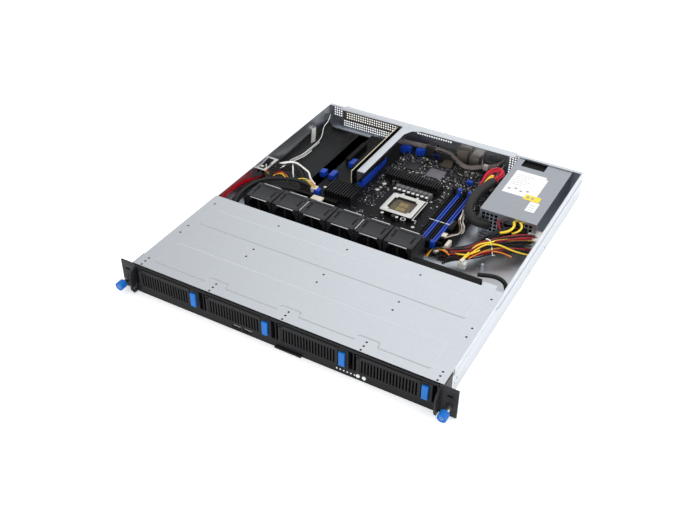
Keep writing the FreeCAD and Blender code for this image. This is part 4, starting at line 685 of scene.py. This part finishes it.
def small_parts():
    """Resistors, ceramic capacitors and small chips, thick on the rear half of the board."""
    rng = random.Random(7)
    lifted = BOARD_TOP + 0.05
    # Each field: left, distance behind the front, width, depth, count.
    fields = [
        (-66, 418, 150, 66, 1100),
        (-66, 380, 22, 34, 70),
        (38, 376, 16, 34, 60),
        (-66, 268, 60, 34, 90),
        (-70, 318, 34, 56, 110),
        (90, 345, 14, 90, 110),
        (-20, 270, 70, 14, 20),
        (36, 300, 16, 70, 14),
    ]
    shares = (1, 3, 3, 6, 3)
    tones = [mat for mat, share in enumerate(shares) for _ in range(share)]
    specs = []
    for x, d, wide, deep, count in fields:
        for _ in range(count):
            long, short = rng.uniform(0.9, 2.9), rng.uniform(0.6, 1.5)
            if rng.random() < 0.5:
                long, short = short, long
            tall = rng.uniform(0.5, 1.6)
            spot = (x + rng.random() * wide, d + rng.random() * deep, lifted)
            specs.append((*spot, long, short, tall, rng.choice(tones)))
    boxes("small_parts", specs, [IVORY, CAN_AND_HIGHLIGHT, CHIP, CHIP_GREY, CHIP_BROWN])


def board_details():
    """Large chips, headers, cans, screws and the memory slots' white clips."""
    top = BOARD_TOP
    chips = [(-47, 440, top, 24, 22, 2.0, 0), (-5, 436, top, 27, 25, 1.7, 1), (4, 473, top, 18, 26, 2.6, 2)]
    boxes("large_chips", chips, [CHIP, CHIP_GREY, CHIP_BROWN], 0.2)
    headers = [(-68, 486, 8, 13, 7, 10, 0), (-44, 489, 8, 12, 7, 10, 0), (-16, 492, 8, 9, 6, 7, 1)]
    headers += [(-148, 352, 8, 9, 12, 9, 0), (-126, 297, 12, 9, 9, 9, 0), (61, 446, 8, 10, 6, 6, 0)]
    headers += [(-80.8, 356, 8.1, 8, 48, 13.4, 0)]
    boxes("blue_headers", headers, [SLOT_BLUE, DEEP_BLACK], 0.4)
    white = [(88, 292, 8, 7, 9, 9, 0), (89, 278, 8, 7, 10, 8, 0), (88, 326, 8, 7, 9, 8, 0)]
    white += [(90, 262, 6, 7, 5, 5, 0), (101, 274, 8, 5, 16, 8, 0)]
    white += [(-122, 281, 14, 18, 11, 3, 0), (-132, 299, 14, 9, 9, 8, 0)]
    boxes("white_headers", white, [IVORY], 0.4)
    cans_and_screws()
    clips = [(55.6 + MEMORY_PITCH * k, 322, 16.2, 7.2, 1.0, 0.7, 0) for k in range(MEMORY_SLOTS)]
    boxes("slot_clips", clips, [WIRE_WHITE], 0.1)


def cans_and_screws():
    """Capacitor cans, a row of small ones along the rear heat sink, and the board's screw heads."""
    bm = bmesh.new()
    cans = [(-46, 356), (-46, 364), (-37, 390), (-31, 392), (50, 470), (60, 472), (-120, 322), (64, 292)]
    for x, d in cans:
        add_rod(bm, at(x, d, 8), at(x, d, 14), 2.4 * MM, 0, 20)
    for i in range(9):
        add_rod(bm, at(-52 + 11 * i, 415.5, 8), at(-52 + 11 * i, 415.5, 13), 1.2 * MM, 0, 12)
    screws = [(-127, 278), (-15, 278), (97, 278), (-15, 498), (97, 498), (40, 300), (35, 372)]
    for x, d in screws:
        add_rod(bm, at(x, d, BOARD_TOP), at(x, d, BOARD_TOP + 1.7), 2.6 * MM, 1, 24)
    from_bmesh("cans_and_screws", bm, [CAN_AND_HIGHLIGHT, STEEL_PLATED])


def socket_details():
    """Contacts in the socket and the load plate's screw."""
    field = [(-11.2, 317, SOCKET_FIELD, 34.8, 33, 0.2, 0)]
    boxes("socket_contacts", field, [GOLD_FIELD])
    corners = [(x, d) for x in (0, 7) for d in (322.5, 334.5)]
    pads = [(x + 1.6 * i, d, SOCKET_FIELD + 0.15, 0.8, 9, 0.2, 0) for x, d in corners for i in range(4)]
    boxes("socket_middle", pads, [GOLD])
    bm = bmesh.new()
    add_rod(bm, at(22.5, 302.5, 8), at(22.5, 302.5, 16), 4.2 * MM, 0, 28)
    add_rod(bm, at(22.5, 302.5, 15.9), at(22.5, 302.5, 16.6), 2.6 * MM, 1, 24)
    for x in (-12, 12):
        add_rod(bm, at(x, 303.5, 9), at(x, 303.5, 15.4), 2.4 * MM, 0, 20)
    from_bmesh("socket_screw", bm, [STEEL_PLATED, CHIP])


def power_labels():
    """The supply's blank labels, the yellow patch on one of them, and grey bars where print would be."""
    tall = SUPPLY_TOP
    sheets = [(131, 408, tall, 47, 66, 0.12, 0), (178, 408, tall, 4, 60, 0.12, 0)]
    sheets += [(178, 376, tall, 14, 26, 0.12, 0)]
    boxes("power_labels", sheets, [LABEL])
    boxes("power_patch", [(165.5, 403, tall + 0.1, 24, 14, 0.12, 0)], [LABEL_YELLOW])
    ink = [(135, 462 - 5.5 * i, tall + 0.11, 26 - 3 * (i % 3), 0.9, 0.06, 0) for i in range(6)]
    ink += [(136 + 9 * i, 418 + 4 * (i % 2), tall + 0.11, 4.2, 4.2, 0.06, 0) for i in range(4)]
    ink += [(169 + 7 * i, 407, tall + 0.22, 4, 6, 0.06, 0) for i in range(2)]
    ink += [(181, 380 + 6 * i, tall + 0.11, 7, 1.2, 0.06, 0) for i in range(3)]
    boxes("power_print", ink, [LABEL_INK])


def bay_film():
    """The dark film on the floor of the card's bay, curled up at the wall."""
    bm = bmesh.new()
    low = 2.4
    profile = [(-139.5, low), (-160, low), (-196, 2.5), (-206, 3.0), (-213, 5), (-217, 9), (-219, 15)]
    rows = []
    for d in (252.5, 300, 336, 380, 440, 480, 505):
        rise = 1.0 if d < 400 else 1.25
        rows.append([bm.verts.new(at(x, d, low + (z - low) * rise)) for x, z in profile])
    for near, far in zip(rows, rows[1:]):
        for i in range(len(profile) - 1):
            bm.faces.new((near[i], far[i], far[i + 1], near[i + 1]))
    bmesh.ops.solidify(bm, geom=bm.faces[:], thickness=0.3 * MM)
    from_bmesh("bay_film", bm, [FILM], smooth=60)


def white_leads():
    """Thin white wires along the bay's wall and over the lid switch, with a tie."""
    rear = [(-213, 498, 30), (-208, 484, 26), (-212, 474, 20), (-208, 462, 9), (-206, 449, 6)]
    rear += [(-207, 418, 6), (-207, 398, 6), (-209, 380, 9), (-203, 352, 20), (-190, 334, 33), (-177, 327, 37)]
    strand("white_lead_1", rear, 0.6, WIRE_WHITE)
    strand("white_lead_2", [(x + 3, d - 4, z + 0.5) for x, d, z in rear[4:]], 0.6, CLEAR)
    strand("white_lead_3", [(x + 6, d - 2, z) for x, d, z in rear[5:]], 0.6, WIRE_WHITE)
    over = [(-194, 305, 29), (-190, 313, 34), (-180, 324, 38), (-174, 327, 38.5), (-160, 323, 36)]
    over += [(-145, 318, 34), (-141, 312, 28), (-131, 311, 21)]
    strand("white_lead_4", over, 1.3, WIRE_WHITE)
    short = [(-199, 318, 34), (-190, 325, 36), (-177, 328, 38), (-165, 325, 36)]
    strand("white_lead_5", short, 1.1, WIRE_WHITE)
    lower = [(-203, 312, 31), (-192, 320, 35), (-178, 329, 37.5), (-171, 327, 38)]
    strand("white_lead_6", lower, 0.9, WIRE_WHITE)
    strand("white_tie", [(-177, 322, 38), (-174, 316, 33), (-170, 311, 22)], 1.2, WIRE_WHITE)


def bay_looms():
    """The dark loom beside the fans, its coloured leads, and the thick leads that come from under the lid."""
    dark = [(-200, 312, 30), (-190, 312, 31), (-178, 320, 34), (-168, 318, 31), (-156, 310, 26)]
    dark += [(-146, 303, 18), (-136, 299, 13)]
    bundle("bay_loom", dark, 7, 1.5, 4.2, [CABLE_BLACK], 3)
    orange = [(-198, 300, 24), (-190, 304, 29), (-180, 304, 28), (-172, 300, 22)]
    bundle("orange_lead", orange, 3, 0.9, 1.6, [WIRE_ORANGE, WIRE_RED, WIRE_YELLOW], 5)
    colors = [WIRE_YELLOW, WIRE_ORANGE, WIRE_WHITE, WIRE_GREEN, WIRE_YELLOW, WIRE_ORANGE]
    for i, mat in enumerate(colors):
        line = [(-156 + 3.2 * i, 302 + 1.6 * (i % 3), 28), (-147 + 2 * i, 306, 31)]
        line += [(-138 + 1.5 * i, 303, 28), (-129 + i, 302, 20)]
        strand(f"fan_lead_{i + 1}", line, 0.8, mat)
    thick = [(-196, 188, 33), (-202, 206, 34), (-204, 228, 35), (-202, 252, 35), (-193, 268, 35.5)]
    thick += [(-175, 281, 35), (-149, 294, 33), (-136, 300, 24)]
    strand("thick_lead", thick, 2.7, CABLE_BLACK)
    second = [(-205, 192, 30), (-209, 212, 31), (-209, 236, 32), (-204, 258, 32), (-193, 274, 32)]
    strand("thick_lead_2", second, 2.0, CABLE_BLACK)


def bay_details():
    """What lies in the card's bay and beside the fans: film, flap, thin wires, looms and red data cables."""
    bay_film()
    flap = [(-219, 452, 26), (-215, 447, 27), (-212, 441, 18), (-211, 437, 8)]
    strip_between("clear_flap", flap, (3, 9, 0), CLEAR, 0.3)
    white_leads()
    bay_looms()
    first = [(-213, 189, 28), (-213, 214, 32), (-212, 244, 34), (-210, 268, 31), (-210, 290, 24)]
    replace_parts(strip_between("data_ribbon_1", first, (4, 0, 5), FLAT_RED, thick=1.6), "sata_cables")
    second = [(-218, 192, 33), (-218.5, 216, 35), (-217, 244, 34), (-213, 264, 32)]
    strip_between("data_ribbon_2", second, (1.5, 0, 6), FLAT_RED, thick=1.4)


def ribbon_cable():
    """The grey ribbon along the board's rear, with its clamp, tie and loose end."""
    line = [(-88, 494, 21), (-62, 497, 21), (-34, 499, 21), (-8, 500, 21), (14, 495, 21), (30, 482, 21)]
    line += [(44, 474, 21), (58, 476, 21), (70, 485, 22), (82, 490, 23), (92, 498, 25), (95, 508, 27)]
    strip_between("grey_ribbon", line, (0.5, 1, 7.5), RIBBON, thick=1.0)
    boxes("ribbon_clamp", [(72, 483, 17.5, 8, 6, 9, 0)], [RIBBON], 1.2)
    boxes("ribbon_tie", [(27, 468, 17, 1.8, 8, 9.5, 0)], [DEEP_BLACK], 0.3)
    tape = [(78, 486, 22), (86, 494, 24), (95, 503, 28), (100, 511, 32)]
    strip_between("rear_tape", tape, (1.5, 0, 6), RIBBON, thick=0.6)


def power_sleeve():
    """The woven sleeve from the supply's corner, and the loops of wire that leave its end."""
    sleeve = [(136, 353, 16), (126, 346, 18), (113, 345, 22), (102, 354, 26), (98, 373, 29)]
    sleeve += [(97, 398, 30), (101, 420, 30), (106, 440, 30)]
    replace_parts(strand("power_sleeve_finish", sleeve, 7.4, SLEEVE), "power_sleeve")
    loop = [(106, 438, 30), (109, 446, 33), (114, 455, 36), (112, 463, 37), (103, 465, 38)]
    loop += [(95, 459, 36), (92, 449, 33), (91, 440, 27), (90, 432, 22)]
    bundle("red_loop", loop, 7, 1.3, 2.4, [BRIGHT_RED, WIRE_RED, BRIGHT_RED], 11)
    inner = [(105, 442, 31), (103, 451, 34), (99, 444, 34), (97, 433, 31), (95, 424, 28)]
    inner += [(90, 421, 24), (87, 418, 18)]
    bundle("yellow_loop", inner, 3, 1.0, 1.3, [WIRE_YELLOW], 12)
    dark = [(104, 439, 30), (105, 449, 34), (99, 452, 34), (94, 442, 31), (92, 434, 25)]
    bundle("dark_loop", dark, 4, 1.1, 1.4, [CABLE_BLACK, WIRE_RED], 13)


def front_loops():
    """The loops of wire in front of the supply: line, radius and colour of each."""
    loops = [
        ([(170, 356, 33), (177, 344, 35), (177, 333, 34), (171, 326, 31), (163, 325, 28)], 1.9, WIRE_YELLOW),
        ([(176, 356, 34), (184, 350, 37), (189, 340, 35), (184, 332, 31), (178, 333, 27)], 1.5, WIRE_YELLOW),
        ([(165, 356, 30), (159, 345, 33), (161, 336, 32), (168, 337, 29), (174, 343, 27)], 1.2, CABLE_BLACK),
        ([(148, 356, 30), (152, 347, 28), (158, 338, 24), (164, 330, 22), (168, 324, 22)], 2.0, WIRE_RED),
        ([(152, 356, 26), (158, 346, 24), (166, 338, 22), (170, 328, 22)], 1.8, CABLE_BLACK),
    ]
    for i, (line, radius, mat) in enumerate(loops):
        strand(f"front_loop_{i + 1}", line, radius, mat)


def drive_looms():
    """The bundles from the supply and the clear plug toward the drives."""
    low = [(197, 352, 20), (183, 345, 23), (168, 332, 23), (157, 320, 22), (149, 303, 20)]
    low += [(143, 287, 18), (135, 272, 17), (118, 260, 16), (108, 250, 15)]
    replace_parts(bundle("black_loom", low, 11, 1.7, 6.5, [CABLE_BLACK], 21)[0], "drive_harness")
    high = [(207, 341, 22), (194, 332, 25), (178, 314, 26), (164, 300, 26), (150, 290, 23)]
    high += [(141, 277, 20), (128, 264, 19), (112, 255, 19)]
    dark_reds = [WIRE_RED, WIRE_RED, CABLE_BLACK]
    bundle("red_loom", high, 9, 1.2, 4.6, dark_reds, 22)
    wide = [(206, 326, 16), (190, 314, 20), (172, 300, 22), (158, 288, 21), (146, 276, 18), (130, 262, 16)]
    colors = [WIRE_RED, CABLE_BLACK, CABLE_BLACK, WIRE_RED, WIRE_YELLOW]
    bundle("spread_loom", wide, 7, 1.1, 5.4, colors, 24)
    mixed = [(206, 334, 23), (190, 322, 27), (172, 304, 28), (160, 295, 27), (147, 284, 23), (140, 268, 20)]
    bundle("mixed_loom", mixed, 4, 1.3, 2.6, [CABLE_BLACK, WIRE_RED, WIRE_ORANGE], 23)


def drive_leads():
    """The single leads over the looms, and the small loops beside the last fan."""
    line = [(213, 309, 18), (203, 305, 20), (190, 302, 22), (174, 298, 28), (163, 292, 30)]
    line += [(154, 287, 28), (145, 275, 22), (140, 262, 19), (136, 252, 18)]
    strand("yellow_lead_1", line, 1.2, WIRE_YELLOW)
    line = [(207, 336, 23), (196, 330, 26), (183, 319, 28), (169, 306, 30), (160, 294, 30)]
    line += [(150, 289, 28), (143, 281, 25), (139, 266, 20), (135, 253, 17)]
    strand("yellow_lead_2", line, 1.2, WIRE_YELLOW)
    line = [(152, 278, 24), (144, 266, 22), (136, 262, 20), (120, 260, 19)]
    strand("yellow_lead_3", line, 1.1, WIRE_YELLOW)
    line = [(192, 298, 14), (184, 297, 17), (172, 292, 20), (160, 286, 21), (151, 278, 19), (143, 262, 17)]
    strand("orange_lead_4", line, 1.1, WIRE_ORANGE)
    for i, mat in enumerate((WIRE_ORANGE, WIRE_RED, WIRE_YELLOW, CABLE_BLACK)):
        line = [(91 + i, 236, 18), (93 + i, 241, 25 + i), (102 + i, 246, 29 + i), (113, 250 + i, 27)]
        strand(f"side_loop_{i + 1}", [*line, (118, 252, 20)], 1.2, mat)


def thin_leads():
    """Thin pale wires beside the memory slots, each a little off the common line."""
    rng = random.Random(31)
    mats = (WIRE_WHITE, WIRE_BROWN, IVORY, CABLE_BLACK)
    for i in range(12):
        x = 93 + rng.uniform(-2, 4)
        line = [(x, 366 + rng.uniform(-6, 6), 20), (x + 3, 352, 18 + rng.uniform(-2, 3))]
        line.append((x + rng.uniform(0, 6), 338, 17))
        line.append((106 + rng.uniform(-4, 6), 324, 16 + rng.uniform(-2, 4)))
        line.append((110 + rng.uniform(-3, 4), 312, 14))
        line += [(98 + rng.uniform(-2, 6), 300, 17), (95, 290, 16)]
        strand(f"thin_lead_{i + 1}", line, 0.5, mats[i % len(mats)])


def right_wires():
    """All the leads of the supply's side, with their plugs and ties."""
    power_sleeve()
    front_loops()
    drive_looms()
    drive_leads()
    bm = bmesh.new()
    add_rod(bm, at(139, 256, 18.5), at(136, 250, 17), 1.8 * MM, 0, 20, 1.5)
    from_bmesh("white_cone", bm, [WHITE])
    boxes("clear_plug", [(196, 335, 10, 19, 26, 15, 0)], [CLEAR], 1.5)
    over = [(152, 299, 30), (158, 300, 31), (164, 292, 26), (168, 288, 14)]
    strand("wire_tie_1", over, 0.9, WIRE_WHITE)
    strand("wire_tie_2", [(166, 289, 15), (171, 291, 12), (168, 296, 11)], 0.9, WIRE_WHITE)
    thin_leads()
    right = [(172, 222, 28), (190, 226, 31), (204, 226, 30), (213, 222, 26), (216, 214, 20)]
    strand("right_lead", right, 3.0, CABLE_BLACK)


def sheet_details():
    """The floor's small tab, a black band under and behind the lid's rear edge, and a thin black plate as
    painted shade over the lid switch's open top, with a small ivory block.
    """
    boxes("floor_tab", [(126, 339, 3, 24, 9, 1.2, 0)], [STEEL_DULL], 0.3)
    # A black band under and behind the lid's rear edge.
    strip = [(84, 186, 31, 99, 25, 1.6, 0), (84, 209.6, 8, 99, 1.4, 24, 0)]
    boxes("lid_edge_dark_band", strip, [DEEP_BLACK], 0.4)
    # Painted shade: a thin black plate darkens the switch's open top; a small ivory block sits on it.
    cover = [(-217.5, 288, 37.3, 9, 30, 0.6, 0), (-216, 290, 37.8, 5, 4, 1.2, 1)]
    boxes("switch_top_shade", cover, [DEEP_BLACK, IVORY], 0.2)


finish_shell()
finish_front()
finish_fans()
finish_board()
finish_power()
dress("signal_cables", [CABLE_BLACK])

fan_details()
small_parts()
board_details()
socket_details()
power_labels()
bay_details()
ribbon_cable()
right_wires()
sheet_details()

# ---------------------------------------------------------------- studio


def make_floor():
    """A plain pale floor that glows a little for the camera only, so that it meets the white background."""
    bm = bmesh.new()
    bmesh.ops.create_grid(bm, x_segments=1, y_segments=1, size=4)
    mesh = bpy.data.meshes.new("floor")
    bm.to_mesh(mesh)
    bm.free()
    floor = bpy.data.objects.new("floor", mesh)
    bpy.context.scene.collection.objects.link(floor)
    mat = material("pale_floor", (0.93, 0.93, 0.93), 0.9)
    shader = mat.node_tree.nodes["Principled BSDF"]
    shader.inputs["Emission Color"].default_value = (1, 1, 1, 1)
    path = add_node(mat, "ShaderNodeLightPath")
    glow = multiply(mat, path.outputs["Is Camera Ray"], 0.32)
    connect(mat, glow, "Emission Strength")
    mesh.materials.append(mat)


def ramp(tree, value, low, high, out_low, out_high):
    """A level that runs from out_low to out_high while the value runs from low to high."""
    node = tree.nodes.new("ShaderNodeMapRange")
    node.interpolation_type = "SMOOTHSTEP"
    for name, number in (("From Min", low), ("From Max", high), ("To Min", out_low), ("To Max", out_high)):
        node.inputs[name].default_value = number
    tree.links.new(value, node.inputs["Value"])
    return node.outputs["Result"]


def add_up(tree, first, second):
    """The sum of two levels; a math node adds unless it is told otherwise."""
    node = tree.nodes.new("ShaderNodeMath")
    tree.links.new(first, node.inputs[0])
    tree.links.new(second, node.inputs[1])
    return node.outputs[0]


def make_world():
    """White to the camera; to the object a studio that is brighter on the right and along the horizon."""
    world = bpy.data.worlds.new("studio")
    bpy.context.scene.world = world
    world.use_nodes = True
    tree = world.node_tree
    back = tree.nodes["Background"]
    path = tree.nodes.new("ShaderNodeLightPath")
    coords = tree.nodes.new("ShaderNodeTexCoord")
    split = tree.nodes.new("ShaderNodeSeparateXYZ")
    tree.links.new(coords.outputs["Generated"], split.inputs[0])
    side = ramp(tree, split.outputs["X"], -0.72, -0.28, 0.46, 0.95)
    horizon = ramp(tree, split.outputs["Z"], 0.12, 0.36, 0.45, 0.0)
    zenith = ramp(tree, split.outputs["Z"], 0.80, 0.96, 0.0, -0.40)
    level = add_up(tree, add_up(tree, side, horizon), zenith)
    tint = tree.nodes.new("ShaderNodeMix")
    tint.data_type = "RGBA"
    tint.inputs[6].default_value = (0.0, 0.0, 0.0, 1)
    tint.inputs[7].default_value = (0.97, 0.985, 1.0, 1)
    tree.links.new(level, tint.inputs["Factor"])
    mix = tree.nodes.new("ShaderNodeMix")
    mix.data_type = "RGBA"
    mix.inputs[7].default_value = (1, 1, 1, 1)
    tree.links.new(path.outputs["Is Camera Ray"], mix.inputs["Factor"])
    tree.links.new(tint.outputs[2], mix.inputs[6])
    tree.links.new(mix.outputs[2], back.inputs["Color"])
    back.inputs["Strength"].default_value = 1.0


def add_light(name, spot, size, energy):
    """A soft rectangular light that points at the object's middle and makes no mirror image."""
    data = bpy.data.lights.new(name, "AREA")
    data.shape = "RECTANGLE"
    data.size, data.size_y = size
    data.energy = energy
    lamp = bpy.data.objects.new(name, data)
    lamp.location = spot
    lamp.rotation_euler = (-Vector(spot)).to_track_quat("-Z", "Y").to_euler()
    lamp.visible_glossy = False
    bpy.context.scene.collection.objects.link(lamp)


def make_lights():
    add_light("softbox_right", (1.6, 0.2, 1.3), (1.2, 1.6), 10.5)
    add_light("softbox_front", (0.1, -1.7, 1.2), (1.8, 0.9), 12)
    add_light("softbox_top", (-0.2, 0.3, 1.9), (1.4, 1.2), 9.5)


def make_camera():
    """A view from the front right and above, rolled a little."""
    data = bpy.data.cameras.new("camera")
    data.sensor_width = 36
    data.lens = 45.68
    place_at = Vector((0.4637, -0.9192, 0.7593))
    aim = Vector((-0.0067, -0.0601, 0.0))
    camera = bpy.data.objects.new("camera", data)
    roll = Matrix.Rotation(math.radians(0.75), 4, "Z")
    turn = (aim - place_at).to_track_quat("-Z", "Y").to_matrix().to_4x4()
    camera.matrix_world = Matrix.Translation(place_at) @ turn @ roll
    bpy.context.scene.collection.objects.link(camera)
    bpy.context.scene.camera = camera


make_floor()
make_world()
make_lights()
make_camera()
bpy.context.scene.view_settings.view_transform = "Standard"
